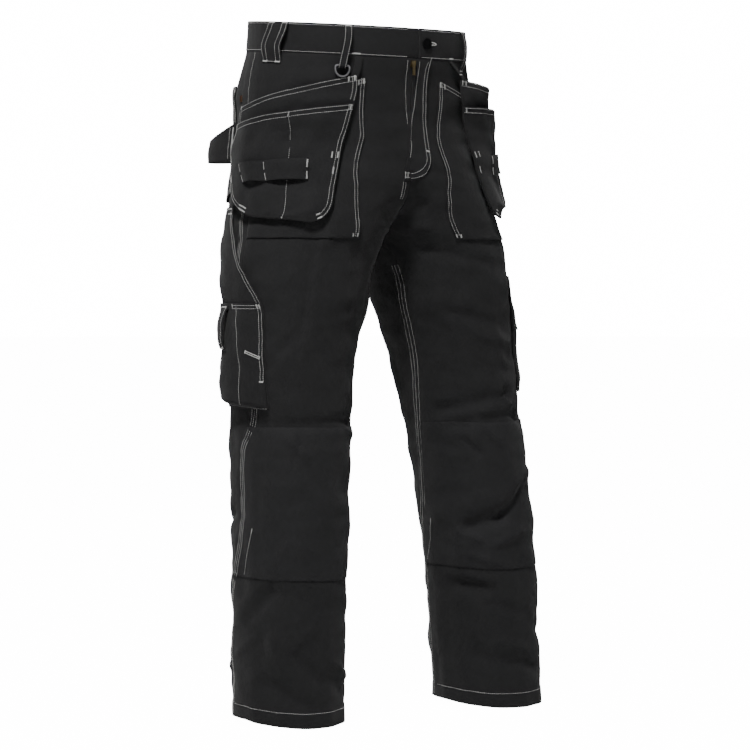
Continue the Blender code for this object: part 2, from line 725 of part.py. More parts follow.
def make_cargo_pocket():
    """The bellows pocket and its flap on the outer left thigh."""
    def swell(u, height):
        share = min(1, (height - CARGO_BOTTOM) / (CARGO_TOP - CARGO_BOTTOM))
        return CARGO_DEPTH * hump(u) ** 0.45 * hump(mix(0.08, 0.98, share)) ** 0.5

    def pocket(u, v):
        height = mix(CARGO_BOTTOM, CARGO_TOP, v)
        return mix(CARGO_FRONT, CARGO_BACK, u), height, CARGO_SEAT + swell(u, height)

    def flap(u, v):
        height = mix(FLAP_BOTTOM, FLAP_TOP, v)
        over = min(1, max(0, (FLAP_TOP - height) / (FLAP_TOP - CARGO_TOP)))
        return mix(CARGO_FRONT, CARGO_BACK, u), height, CARGO_SEAT + swell(u, height) + 2.4 * over
    laid("cargo_pocket", LEFT, 10, 6, pocket, plain_cloth("cargo_pocket"))
    laid("cargo_flap", LEFT, 10, 5, flap, plain_cloth("cargo_flap"))


BACK_POCKET_TOP = 929.0  # at its outer corner, and 12 lower at its inner one
BACK_POCKET_BOTTOM = 760.0
BACK_POCKET_OUTER = 25.0
BACK_POCKET_INNER = 74.0
BACK_POCKET_SWELL = 7.0


def make_back_pockets():
    """A patch pocket on each side of the seat, hanging a little open at its mouth."""
    for side, word in SIDES:
        def spot(u, v, side=side):
            high = mix(BACK_POCKET_TOP, BACK_POCKET_TOP - 12, u)
            low = BACK_POCKET_BOTTOM + 14 * abs(2 * u - 1) ** 3
            swell = BACK_POCKET_SWELL * hump(u) ** 0.6 * hump(mix(0.1, 0.7, v)) ** 0.6
            return mix(BACK_POCKET_OUTER, BACK_POCKET_INNER, u), mix(low, high, v), 1.8 + swell
        name = "back_pocket_" + word
        laid(name, side, 9, 7, spot, plain_cloth(name))


HAMMER_REACH = 34.0
HAMMER_FRONT = 22.0
HAMMER_BACK = 62.0


def make_hammer_loop():
    """A wide band on the right hip that stands out in an arch, to hold a hammer's handle."""
    def spot(u, v):
        arch = hump(u)
        high = mix(878, 850, arch)
        low = mix(822, 817, arch)
        seat = mix(1.9, 9.7, min(1, 2 * u))
        return mix(HAMMER_FRONT, HAMMER_BACK, u), mix(low, high, v), seat + HAMMER_REACH * arch ** 0.85
    laid("hammer_loop", RIGHT, 12, 2, spot, plain_cloth("hammer_loop"))


def plain_cloth(name):
    return painted(name, (0.017, 0.017, 0.018), 0.9, 0.0)


def painted(name, colour, roughness, metallic):
    material = bpy.data.materials.new(name)
    material.use_nodes = True
    surface = material.node_tree.nodes["Principled BSDF"]
    surface.inputs["Base Color"].default_value = (*colour, 1)
    surface.inputs["Roughness"].default_value = roughness
    surface.inputs["Metallic"].default_value = metallic
    return material


SIDES = ((RIGHT, "right"), (LEFT, "left"))
for old in list(bpy.data.objects):
    bpy.data.objects.remove(old)
collection = bpy.data.collections.new("work_trousers")
bpy.context.scene.collection.children.link(collection)
make_fronts_and_backs()
make_knee_patches()
make_waistband()
make_fly()
make_front_pockets()
make_holsters()
make_tool_bands()
make_straps()
make_belt_loops()
make_dring()
make_zip()
make_button()
make_thigh_pockets()
make_cargo_pocket()
make_back_pockets()
make_hammer_loop()
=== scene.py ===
# %% [markdown]
# # Work trousers, dressed over their solid frame
# The frame is the cut garment as rigid solids: fronts, backs, pockets, loops and a few metal
# pieces. This lesson lays fine cloth over each of them, with creases, puckered seams, real
# stitches and metal fittings, and then lights and films the result. Each piece of cloth starts
# as a flat grid, as on the cutting table, and is laid on one shared surface of the body.

# %% Load the frame
import math

import bpy
import numpy as np
from mathutils import Matrix, Vector


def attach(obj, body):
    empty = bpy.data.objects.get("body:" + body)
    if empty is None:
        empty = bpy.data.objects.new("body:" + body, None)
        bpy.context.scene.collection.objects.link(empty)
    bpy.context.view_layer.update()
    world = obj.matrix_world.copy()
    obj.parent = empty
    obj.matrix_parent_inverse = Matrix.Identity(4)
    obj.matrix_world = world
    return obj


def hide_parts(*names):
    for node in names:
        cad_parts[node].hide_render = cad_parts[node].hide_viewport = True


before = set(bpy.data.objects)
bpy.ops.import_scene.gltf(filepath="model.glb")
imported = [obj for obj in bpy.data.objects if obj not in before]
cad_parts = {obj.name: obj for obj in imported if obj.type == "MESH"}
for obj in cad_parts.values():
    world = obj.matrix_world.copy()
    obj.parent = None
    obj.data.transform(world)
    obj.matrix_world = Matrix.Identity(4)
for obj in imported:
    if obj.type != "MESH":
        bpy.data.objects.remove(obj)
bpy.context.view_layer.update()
bpy.ops.object.select_all(action="DESELECT")

# %% [markdown]
# ## The surface that all the cloth lies on
# A tailor thinks in rings: how wide and deep the leg is at each height. The table gives a row
# for each such height, in millimetres above the hem, and smooth curves run through the rows.
# Above the crotch each half of the trunk is an open ring whose inner edge passes the middle.

# %% Sizes of the garment
MM = 0.001
ORIGIN_HEIGHT = 1005.0
CROTCH_HEIGHT = 705.0
WAIST_SEAM = 982.0
WAIST_TOP = 1027.0
CLOTH = 1.2
SEAM_GAP = 0.3
LAYER = SEAM_GAP + CLOTH
ROUNDNESS = 0.94
HEM_DIP, HEM_DIP_REACH = 9.0, 160.0
LEFT, RIGHT = 1, -1
WORDS = {RIGHT: "right", LEFT: "left"}

# Columns: height, inner edge, outer edge, depth in front, depth behind, tilt.
SECTIONS = (
    (0, 104, 260, 88, 90, 0), (120, 98, 258, 88, 92, 0), (210, 94, 255, 90, 92, 0),
    (300, 88, 250, 94, 91, 0), (345, 84, 248, 96, 90, 0), (390, 80, 246, 96, 90, 0),
    (435, 72, 242, 95, 93, 0), (480, 65, 243, 94, 96, 0), (525, 57, 242, 96, 99, 0),
    (570, 44, 238, 100, 105, 0), (613, 30, 236, 106, 112, 0), (640, 25, 236, 108, 116, 0),
    (680, 12, 230, 112, 128, 0), (705, 0, 223, 115, 137, 0), (735, -24, 214, 118, 146, 0),
    (760, -52, 207, 121, 152, 0), (790, -96, 199, 124, 159, 0), (825, -152, 194, 127, 165, 0.01),
    (860, -190, 190, 129, 168, 0.03), (900, -187, 187, 132, 168, 0.055),
    (945, -180, 180, 138, 160, 0.075), (985, -170, 170, 145, 151, 0.083),
    (1040, -167, 167, 147, 149, 0.083))
# Columns: height, sway to the left, sway to the back, stride of the left foot.
POSES = (
    (0, 27, -48, 6), (210, 24, -43, 5), (345, 19, -34, 4), (525, 13, -23, 2), (613, 10, -19, 1),
    (705, 8, -15, 0), (800, 4, -8, 0), (900, 1, -2, 0), (1040, 0, 0, 0))
# Columns: height, angle of the side seam, angle of the inseam. 0 is the outer side, -90 the front.
SEAMS = (
    (0, 28, -201), (185, 26, -201), (230, 12, -199), (276, 5, -193), (310, 3, -186),
    (400, 0, -179), (447, -8, -172), (535, -9, -162), (600, -7, -158.5), (650, -5.2, -157),
    (685, -3.6, -161), (705, -2, -174), (720, -1, -180), (860, 6, -180), (1040, 8, -180))


def smooth(value):
    value = np.clip(value, 0, 1)
    return value * value * (3 - 2 * value)


def mix(start, end, share):
    return start + (end - start) * share


def hump(share):
    """0 at both ends and 1 in the middle."""
    return np.sin(math.pi * np.clip(share, 0, 1))


def sample(table, height):
    """The table's columns at many heights, on smooth curves through its rows and on past its ends."""
    rows = np.array(table, float)
    knots = rows[:, 0]
    given = np.asarray(height, float)
    height = np.clip(given, knots[0], knots[-1])
    beyond = given - height
    low = np.clip(np.searchsorted(knots, height, side="right") - 1, 0, len(knots) - 2)
    high, before, after = low + 1, np.maximum(low - 1, 0), np.minimum(low + 2, len(knots) - 1)
    span = knots[high] - knots[low]
    t = (height - knots[low]) / span
    columns = []
    for column in rows[:, 1:].T:
        slope_low = (column[high] - column[before]) / (knots[high] - knots[before])
        slope_high = (column[after] - column[low]) / (knots[after] - knots[low])
        columns.append((1 + 2 * t) * (1 - t) ** 2 * column[low] + t * (1 - t) ** 2 * span * slope_low
                       + t * t * (3 - 2 * t) * column[high] - t * t * (1 - t) * span * slope_high
                       + beyond * np.where(beyond > 0, slope_high, slope_low))
    return columns


def rings(height):
    """Inner edge, outer edge, front, back and tilt; the inner edge stops at the other hip."""
    inner, outer, front, back, tilt = sample(SECTIONS, height)
    return np.maximum(inner, -outer), outer, front, back, tilt


def drawn_out(value):
    """A sine or cosine, drawn out towards the corners of the ring."""
    return np.copysign(np.abs(value) ** ROUNDNESS, value)


def body_point(side, angle, height):
    """Points of the outer surface with no folds, in millimetres."""
    inner, outer, front, back, tilt = rings(height)
    sway_x, sway_y, stride = sample(POSES, height)
    turn = np.radians(angle)
    across = (inner + outer) / 2 + (outer - inner) / 2 * drawn_out(np.cos(turn))
    along = np.where(np.sin(turn) > 0, back, front) * drawn_out(np.sin(turn))
    dip = HEM_DIP * np.maximum(0, -np.sin(turn)) * np.maximum(0, 1 - height / HEM_DIP_REACH) ** 2
    return np.stack((side * (across + SEAM_GAP / 2) + sway_x,
                     along + sway_y - side * stride,
                     height - ORIGIN_HEIGHT + tilt * along - dip), -1)


print("one ring at the knee:", np.round(body_point(RIGHT, np.array([-90.0, 0.0]), np.array([400.0])), 1))

# %% [markdown]
# ## Folds and uneven cloth
# Worn trousers keep the folds that walking and kneeling pressed into them. Each row of the table
# is one soft trough (a negative depth) or ridge, drawn as a line from one place of a leg to
# another. Rows are uneven in length, depth and width, as real folds are. Between them the cloth
# is never quite smooth, so a few dozen faint waves in all directions are added to it.

# %% Folds
FOLD_RADIUS = 95.0
# Columns: side, angle and height of one end, angle and height of the other, depth, width.
MAIN_FOLDS = (
    (-1, -30, 432, -125, 436, -4.0, 14), (-1, -38, 120, -72, 25, 4.5, 22),
    (-1, -34, 190, -6, 152, -5.0, 20), (-1, -25, 60, -75, 28, -4.0, 18),
    (-1, -95, 62, -135, 40, -3.5, 18), (-1, 66, 392, 122, 380, -5.0, 20),
    (-1, 68, 332, 122, 342, -4.0, 18), (-1, 64, 112, 118, 92, -4.0, 20),
    (1, -75, 470, -150, 446, -4.5, 15), (1, -60, 440, -140, 425, -3.5, 14),
    (1, -140, 268, -100, 285, -5.5, 18), (1, -100, 285, -62, 330, -5.5, 18),
    (1, -165, 180, -125, 174, -4.5, 18), (1, -140, 72, -65, 55, -4.0, 18),
    (1, 58, 398, 112, 380, -5.0, 20), (1, 60, 335, 110, 332, -4.0, 18),
    (1, 45, 108, 108, 121, -4.0, 20))
FINE_FOLDS = (
    (-1, -52, 412, -70, 388, 1.6, 7), (-1, -62, 404, -58, 376, -1.4, 6),
    (-1, -48, 262, -40, 232, 1.2, 7), (-1, -118, 428, -150, 410, 1.4, 9),
    (-1, -60, 98, -88, 60, -1.8, 9), (-1, -98, 90, -128, 66, 1.6, 9),
    (-1, -20, 128, 8, 96, 1.5, 10), (-1, -86, 150, -60, 112, 1.5, 11),
    (-1, 20, 300, 60, 270, -2.0, 12), (-1, 70, 420, 130, 400, 2.2, 12),
    (-1, 90, 300, 150, 312, 2.0, 11), (-1, 60, 200, 110, 180, -2.0, 14),
    (-1, 45, 70, 100, 50, 2.0, 12), (-1, 120, 250, 160, 235, -2.0, 12),
    (-1, 60, 640, 130, 610, -2.5, 18), (-1, 50, 735, 110, 712, -3.0, 18),
    (-1, 70, 700, 150, 668, 2.0, 14), (-1, 30, 500, 80, 470, -2.0, 16),
    (1, -84, 476, -70, 452, 1.8, 7), (1, -112, 428, -96, 398, 1.6, 8),
    (1, -132, 402, -116, 378, -1.6, 7), (1, -152, 262, -128, 250, 1.8, 8),
    (1, -136, 226, -112, 212, 1.5, 8), (1, -112, 242, -80, 262, 1.8, 9),
    (1, -74, 308, -52, 352, 2.0, 9), (1, -150, 196, -118, 186, 1.6, 8),
    (1, -120, 152, -80, 132, -1.8, 11), (1, -60, 120, -30, 92, -1.8, 12),
    (1, -118, 96, -84, 84, 1.5, 9), (1, -132, 690, -78, 668, -1.6, 12),
    (1, -122, 596, -72, 574, -1.6, 12), (1, -100, 560, -60, 548, 1.2, 10),
    (1, 20, 310, 62, 280, -2.0, 12), (1, 66, 428, 112, 410, 2.2, 12),
    (1, 70, 300, 114, 305, 2.0, 11), (1, 50, 205, 100, 190, -2.0, 14),
    (1, 35, 60, 90, 66, 2.0, 12), (1, 60, 650, 130, 618, -2.5, 18),
    (1, 52, 740, 112, 716, -3.0, 18), (1, 66, 704, 146, 674, 2.0, 14),
    (-1, -132, 732, -108, 752, -1.6, 10), (-1, -140, 716, -116, 724, 1.3, 8),
    (1, -140, 736, -112, 758, -1.6, 10), (1, -146, 718, -120, 726, 1.3, 8),
    (-1, 80, 790, 96, 830, -2.2, 14), (1, 80, 786, 97, 826, -2.2, 14),
    (-1, -52, 735, -50, 470, 1.3, 16), (-1, -66, 730, -62, 540, -1.2, 9),
    (-1, -96, 735, -104, 600, -1.3, 10), (-1, -58, 566, -34, 516, -1.4, 13),
    (1, -98, 745, -112, 620, -1.3, 16), (1, -84, 640, -76, 520, 1.2, 16))
SHARPNESS = 1.5
FOLDS = tuple((*fold[:5], fold[5] * gain, fold[6] / SHARPNESS) for folds, gain in
              ((MAIN_FOLDS, 1.45), (FINE_FOLDS, 2.1)) for fold in folds)
WAVES = 34
WAVE_LENGTHS = (26.0, 120.0)
WAVE_HEIGHT = 0.36
draws = np.random.default_rng(7)
wave_turns = draws.uniform(0, math.tau, WAVES)
wave_lengths = np.exp(draws.uniform(*np.log(WAVE_LENGTHS), WAVES))
wave_starts = draws.uniform(0, math.tau, WAVES)


def unevenness(side, angle, height):
    """Faint waves of the cloth, in millimetres; long ones are higher than short ones."""
    round_it = np.radians(angle) * FOLD_RADIUS + side * 500
    total = 0.0
    for turn, length, start in zip(wave_turns, wave_lengths, wave_starts):
        phase = (round_it * math.cos(turn) + height * math.sin(turn)) * math.tau / length + start
        total = total + WAVE_HEIGHT * (length / 80) * np.sin(phase + 0.8 * np.sin(phase * 0.37))
    return total


def relief(side, angle, height):
    """How far folds and unevenness move the surface out, in millimetres."""
    angle, height, side = np.broadcast_arrays(angle, height, side)
    moved = np.zeros(angle.shape)
    for own, angle_a, height_a, angle_b, height_b, depth, width in FOLDS:
        turn_a, turn_b = (np.radians(end - angle) * FOLD_RADIUS for end in (angle_a, angle_b))
        rise_a, rise_b = height_a - height, height_b - height
        run, rise = turn_b - turn_a, rise_b - rise_a
        share = np.clip(-(turn_a * run + rise_a * rise) / (run * run + rise * rise), 0, 1)
        distance = np.hypot(turn_a + share * run, rise_a + share * rise)
        moved += np.where(side == own, depth * np.exp(-(distance / width) ** 2), 0)
    calm = np.clip((WAIST_SEAM - height) / 60, 0.25, 1)
    inseam = sample(SEAMS, height)[1]
    from_inseam = np.minimum(np.abs(angle - inseam), np.abs(angle - inseam - 360))
    return (moved + calm * unevenness(side, angle, height)) * smooth(from_inseam / 12)


def skin(side, angle, height, out=0.0):
    """Points at a distance outside the surface, in metres."""
    step = 1.5
    side, angle, height, out = np.broadcast_arrays(side, angle, height, out)
    round_it = body_point(side, angle + step, height) - body_point(side, angle - step, height)
    up_it = body_point(side, angle, height + step) - body_point(side, angle, height - step)
    normal = np.cross(round_it, up_it) * side[..., None]
    normal /= np.linalg.norm(normal, axis=-1, keepdims=True)
    out = out + relief(side, angle, height)
    return (body_point(side, angle, height) + normal * out[..., None]) * MM


print("folds:", len(FOLDS), "and", WAVES, "faint waves")

# %% [markdown]
# ## From a flat grid to a piece of cloth
# A form is a surface with two coordinates of its own: angle and height on a leg, or shares
# across and along a pocket. A piece starts as Blender's grid primitive, which is the cloth
# lying on the table. Its crossings are laid on the form, then Solidify gives the cloth its
# thickness and Bevel takes the hard corner off its edges. The UV map keeps the lengths that the
# cloth has when it lies flat, in metres, so that the weave runs true in every piece.

# %% Laying cloth
EDGE_ROUNDING = 0.35
CELL = 5.0


class Form:
    """A surface with two coordinates. place(a, b, out) gives points in metres."""

    def __init__(self, place, steps):
        self.place = place
        self.steps = steps

    def at(self, a, b, out=0.0):
        return self.place(np.asarray(a, float), np.asarray(b, float), out)

    def slopes(self, a, b):
        """How far a point moves as each coordinate grows by one."""
        step_a, step_b = self.steps
        slope_a = (self.at(a + step_a, b) - self.at(a - step_a, b)) / (2 * step_a)
        slope_b = (self.at(a, b + step_b) - self.at(a, b - step_b)) / (2 * step_b)
        return slope_a, slope_b

    def hand(self, a, b):
        """1 where the two coordinates and the outward direction are right-handed, else -1."""
        slope_a, slope_b = self.slopes(a, b)
        outward = self.at(a, b, 1.0) - self.at(a, b)
        return float(np.sign(np.sum(np.cross(slope_a, slope_b) * outward)))


def leg_form(side, lift=0.0):
    """The surface of one side, at a lift that may be a function of angle and height."""
    def place(angle, height, out):
        rise = lift(angle, height) if callable(lift) else lift
        return skin(side, angle, height, out + rise)
    return Form(place, (0.4, 1.0))


def spaced(length, cell=CELL, near=()):
    """Shares from 0 to 1, about a cell apart, with closer ones near both ends at given millimetres."""
    count = max(1, round((length - 2 * (near[-1] if near else 0)) / cell))
    inner = np.linspace(near[-1] if near else 0, length - (near[-1] if near else 0), count + 1)
    ends = np.array(near[:-1], float)
    start = np.array([0.0]) if near else np.array([])
    finish = np.array([length]) if near else np.array([])
    return np.concatenate((start, ends, inner, length - ends[::-1], finish)) / length


def apply_modifier(piece, kind, **settings):
    modifier = piece.modifiers.new(kind.title(), kind)
    for key, value in settings.items():
        setattr(modifier, key, value)
    bpy.context.view_layer.objects.active = piece
    bpy.ops.object.modifier_apply(modifier=modifier.name)


def lay_cloth(name, form, spread, columns, rows, material, wall=CLOTH, offset=-1.0):
    """Lay a grid on a form. spread(u, v) turns shares into the form's two coordinates."""
    u, v = np.meshgrid(columns, rows)
    a, b = spread(u, v)
    points = form.at(a, b)
    lifted = form.at(a, b, 1.0)
    across, along = np.gradient(points, axis=1), np.gradient(points, axis=0)
    if np.sum(np.cross(across, along) * (lifted - points)) < 0:
        points = points[:, ::-1]
    bpy.ops.object.select_all(action="DESELECT")
    bpy.ops.mesh.primitive_grid_add(
        x_subdivisions=len(columns) - 1, y_subdivisions=len(rows) - 1, size=1)
    piece = bpy.context.object
    piece.name = name
    mesh = piece.data
    flat = np.zeros(len(mesh.vertices) * 3)
    mesh.vertices.foreach_get("co", flat)
    flat = flat.reshape(-1, 3)
    column = np.rint((flat[:, 0] + 0.5) * (len(columns) - 1)).astype(int)
    row = np.rint((flat[:, 1] + 0.5) * (len(rows) - 1)).astype(int)
    mesh.vertices.foreach_set("co", points[row, column].ravel())
    set_flat_uv(mesh, points, row, column)
    mesh.update()
    apply_modifier(piece, "SOLIDIFY", thickness=wall * MM, offset=offset)
    apply_modifier(piece, "BEVEL", width=EDGE_ROUNDING * MM, segments=2, limit_method="ANGLE",
                   angle_limit=math.radians(60))
    bpy.ops.object.shade_smooth_by_angle(angle=math.radians(50))
    mesh.materials.append(material)
    return piece


def set_flat_uv(mesh, points, row, column):
    """Give each corner the place, in metres, that it has on the flat cloth."""
    steps = np.linalg.norm(np.diff(points, axis=1), axis=-1)
    across = np.concatenate((np.zeros((len(points), 1)), np.cumsum(steps, axis=1)), axis=1)
    across -= across[:, [across.shape[1] // 2]]
    rises = np.linalg.norm(np.diff(points, axis=0), axis=-1)
    along = np.concatenate((np.zeros((1, points.shape[1])), np.cumsum(rises, axis=0)), axis=0)
    corners = np.zeros(len(mesh.loops), int)
    mesh.loops.foreach_get("vertex_index", corners)
    uv = np.stack((across[row, column], along[row, column]), -1)[corners]
    mesh.uv_layers.active.data.foreach_set("uv", uv.ravel())


def size_of(piece):
    """Half of a closed wall's surface, in square metres: the area of the cloth in it."""
    return sum(face.area for face in piece.data.polygons) / 2


made = []


def keep(piece, nodes, flat):
    """The piece rides on the garment and stands for its solids."""
    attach(piece, "root")
    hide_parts(*nodes)
    made.append(piece)
    print(f"{piece.name}: {len(piece.data.polygons)} faces, {size_of(piece):.3f} m2 of cloth")
    return piece


# %% [markdown]
# ## Thread
# The light thread is what draws these trousers. Each stitch is a real grain of thread, half
# sunk in the cloth: it is modelled once, as a low sphere stretched to a stitch, and copied along
# each seam. A bar tack is a short row of stitches that lie across it, close together. A line is
# given by a few places on a form, and a second row of stitches is the same line moved sideways.

# %% Stitching
STITCH_PITCH = 3.1
STITCH_LENGTH = 2.75
THREAD_WIDTH = 1.0
THREAD_HEIGHT = 0.75
TACK_PITCH = 0.62
TACK_WIDTH = 2.8
LINE_STEPS = 24
threads = {}


def smooth_line(path):
    """A smooth curve through given places, as an array with two columns."""
    path = np.array(path, float)
    if len(path) == 2:
        return path[0] + (path[1] - path[0]) * np.linspace(0, 1, LINE_STEPS * 2)[:, None]
    padded = np.vstack((2 * path[0] - path[1], path, 2 * path[-1] - path[-2]))
    t = np.linspace(0, 1, LINE_STEPS, endpoint=False)[:, None]
    pieces = []
    for before, start, end, after in zip(padded, padded[1:], padded[2:], padded[3:]):
        pieces.append(0.5 * (2 * start + (end - before) * t
                             + (2 * before - 5 * start + 4 * end - after) * t ** 2
                             + (3 * start - before - 3 * end + after) * t ** 3))
    return np.vstack(pieces + [path[-1:]])


def beside(form, path, distance):
    """The line moved sideways over the cloth by a distance in millimetres, to its left."""
    line = smooth_line(path)
    steps = max(1, math.ceil(abs(distance) / 1.5))
    for _ in range(steps):
        a, b = line[:, 0], line[:, 1]
        slope_a, slope_b = form.slopes(a, b)
        ahead = np.gradient(form.at(a, b), axis=0)
        out = np.cross(slope_a, slope_b) * form.hand(a[:1], b[:1])
        side = np.cross(out, ahead)
        side *= distance / steps * MM / np.linalg.norm(side, axis=-1, keepdims=True)
        aa, ab, bb = (np.sum(x * y, -1) for x, y in
                      ((slope_a, slope_a), (slope_a, slope_b), (slope_b, slope_b)))
        sa, sb = np.sum(side * slope_a, -1), np.sum(side * slope_b, -1)
        spread = aa * bb - ab * ab
        line = np.stack((a + (sa * bb - sb * ab) / spread, b + (sb * aa - sa * ab) / spread), -1)
    return line


def stations(form, line, pitch):
    """Evenly spaced places on a line, with the directions along it and out of the cloth."""
    points = form.at(line[:, 0], line[:, 1])
    reach = np.concatenate(([0.0], np.cumsum(np.linalg.norm(np.diff(points, axis=0), axis=1))))
    count = max(1, round(reach[-1] / (pitch * MM)))
    stops = (np.arange(count) + 0.5) / count * reach[-1]
    a, b = (np.interp(stops, reach, line[:, index]) for index in (0, 1))
    ahead = np.stack([np.interp(stops, reach, np.gradient(points[:, axis])) for axis in range(3)], -1)
    ahead /= np.linalg.norm(ahead, axis=-1, keepdims=True)
    slope_a, slope_b = form.slopes(a, b)
    out = np.cross(slope_a, slope_b) * form.hand(a[:1], b[:1])
    out -= ahead * np.sum(out * ahead, -1, keepdims=True)
    out /= np.linalg.norm(out, axis=-1, keepdims=True)
    return form.at(a, b), ahead, out


def sew(group, form, path, face=0.0, distance=0.0):
    """A row of stitches along a line; face lifts it to the cloth's outer face."""
    line = beside(form, path, distance) if distance else smooth_line(path)
    centre, ahead, out = stations(form, line, STITCH_PITCH)
    threads.setdefault(group, []).append((centre + out * face * MM, ahead, out, STITCH_LENGTH))


def sew_double(group, form, path, first, second, face=0.0):
    for distance in (first, second):
        sew(group, form, path, face, distance)


def tack(group, form, start, end, face=0.0, width=TACK_WIDTH):
    """A bar tack: short stitches side by side across the line from start to end."""
    centre, ahead, out = stations(form, smooth_line((start, end)), TACK_PITCH)
    threads.setdefault(group, []).append((centre + out * face * MM, np.cross(out, ahead), out, width))


def satin(group, form, path, distance=0.0, width=TACK_WIDTH):
    """A dense row of stitches that lie across a line, as round a buttonhole."""
    line = beside(form, path, distance) if distance else smooth_line(path)
    centre, ahead, out = stations(form, line, TACK_PITCH)
    threads.setdefault(group, []).append((centre, np.cross(out, ahead), out, width))


def buttonhole(group, form, start, end, half=1.3):
    """Two dense rows either side of a slit, and a tack at each end."""
    for distance in (-half, half):
        satin(group, form, (start, end), distance, 1.7)
    for place in (0.0, 1.0):
        a, b = (start[0] + (end[0] - start[0]) * place, start[1] + (end[1] - start[1]) * place)
        near = beside(form, (start, end), -1.8 * half)[round(place * -1)]
        far = beside(form, (start, end), 1.8 * half)[round(place * -1)]
        tack(group, form, tuple(near), tuple(far), width=1.6)


def model_stitch():
    """One grain of thread, a unit long, wide and high."""
    bpy.ops.mesh.primitive_uv_sphere_add(segments=6, ring_count=3, radius=0.5)
    grain = bpy.context.object
    bpy.ops.object.mode_set(mode="EDIT")
    bpy.ops.mesh.select_all(action="SELECT")
    bpy.ops.transform.rotate(value=math.pi / 2, orient_axis="Y", center_override=(0, 0, 0))
    bpy.ops.object.mode_set(mode="OBJECT")
    return grain


def make_threads(material):
    """Copy the stitch to all its places, one mesh for each group of seams."""
    grain = model_stitch()
    corners = np.array([vertex.co for vertex in grain.data.vertices])
    faces = [list(face.vertices) for face in grain.data.polygons]
    bpy.data.objects.remove(grain)
    total = 0
    for group, rows in threads.items():
        points = []
        for centre, ahead, out, length in rows:
            side = np.cross(out, ahead)
            points.append((centre[:, None] + corners[None, :, 0, None] * ahead[:, None] * length * MM
                           + corners[None, :, 1, None] * side[:, None] * THREAD_WIDTH * MM
                           + corners[None, :, 2, None] * out[:, None] * THREAD_HEIGHT * MM).reshape(-1, 3))
        points = np.vstack(points)
        count = len(points) // len(corners)
        total += count
        mesh = bpy.data.meshes.new("thread_" + group)
        mesh.from_pydata(points.tolist(), [], [[corner + len(corners) * index for corner in face]
                                               for index in range(count) for face in faces])
        mesh.shade_smooth()
        mesh.materials.append(material)
        piece = bpy.data.objects.new("thread_" + group, mesh)
        bpy.context.scene.collection.objects.link(piece)
        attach(piece, "root")
    print("stitches:", total, "in", len(threads), "groups")


# %% [markdown]
# ## A small language for finishes
# A finish is a sum: a colour that drifts a little, a weave that catches the light, a nap. Written
# as arithmetic it stays readable, so one class wraps a node's output and overloads the signs, and
# one method adds any other node.

# %% Finishes as arithmetic
class Wire:
    """A number that varies over a surface: the output of a node."""

    def __init__(self, shop, socket):
        self.shop, self.socket = shop, socket

    def sum(self, operation, *others):
        return self.shop.node("ShaderNodeMath", {"operation": operation}, self, *others)

    def __add__(self, other):
        return self.sum("ADD", other)

    def __mul__(self, other):
        return self.sum("MULTIPLY", other)

    def __sub__(self, other):
        return self.sum("SUBTRACT", other)

    def __rsub__(self, other):
        return self.shop.node("ShaderNodeMath", {"operation": "SUBTRACT"}, other, self)

    __radd__, __rmul__ = __add__, __mul__


class Finish:
    """One material and the nodes that it is made of."""

    def __init__(self, name, colour, roughness, metallic=0.0, sheen=0.0):
        self.material = bpy.data.materials.new(name)
        self.material.use_nodes = True
        self.tree = self.material.node_tree
        self.surface = self.tree.nodes["Principled BSDF"]
        self.set("Base Color", (*colour, 1))
        self.set("Roughness", roughness)
        self.set("Metallic", metallic)
        self.set("Sheen Weight", sheen)
        self.set("Sheen Roughness", 0.5)

    def set(self, socket, value):
        if isinstance(value, Wire):
            self.tree.links.new(value.socket, self.surface.inputs[socket])
        else:
            self.surface.inputs[socket].default_value = value

    def node(self, kind, settings, *values, output=0, stops=None, **named):
        """Add a node: its settings first, then the values or links of its sockets."""
        node = self.tree.nodes.new(kind)
        for key, value in settings.items():
            setattr(node, key, value)
        if stops:
            for element, (place, colour) in zip(node.color_ramp.elements, stops):
                element.position, element.color = place, colour
        for key, value in [*enumerate(values), *named.items()]:
            socket = node.inputs[key]
            if isinstance(value, Wire):
                self.tree.links.new(value.socket, socket)
            else:
                socket.default_value = value
        return Wire(self, node.outputs[output])

    def flat_cloth(self):
        """Across and along the flat cloth, in millimetres."""
        uv = self.node("ShaderNodeUVMap", {})
        scaled = self.node("ShaderNodeVectorMath", {"operation": "SCALE"}, uv, Scale=1 / MM)
        return [self.node("ShaderNodeSeparateXYZ", {}, scaled, output=axis) for axis in range(2)]

    def noise(self, size, detail=2.0):
        """Noise with lumps of a size in metres, fixed to the object."""
        place = self.node("ShaderNodeTexCoord", {}, output="Object")
        return self.node("ShaderNodeTexNoise", {}, Vector=place, Scale=1 / size, Detail=detail)

    def between(self, share, low, high):
        """A colour between two others."""
        return self.node("ShaderNodeMix", {"data_type": "RGBA"}, output=2,
                         Factor=share, A=(*low, 1), B=(*high, 1))

    def bump(self, height, depth, over=None):
        """A normal from a height between 0 and 1 that stands for a depth in metres."""
        named = {"Height": height, "Distance": depth, "Strength": 1.0}
        if over is not None:
            named["Normal"] = over
        return self.node("ShaderNodeBump", {}, **named)


# %% [markdown]
# ## Nearly black cloth
# Black workwear is not black but a very dark grey that scatters about a fiftieth of the light.
# The twill's diagonal ribs are under a millimetre apart, so they only roughen the highlights
# from a step away. The knees are a plain weave, a shade lighter and flatter.

# %% Cloth, thread and metal
RIB = 1.1
THREAD_CROSS = 0.55


def drifting_shade(finish, low, high):
    """Cloth drifts a little in shade, in patches as wide as a hand and in flecks of lint."""
    patches = finish.noise(0.11)
    flecks = finish.noise(0.0035, 3.0)
    return finish.between(patches * 0.7 + flecks * 0.3, low, high)


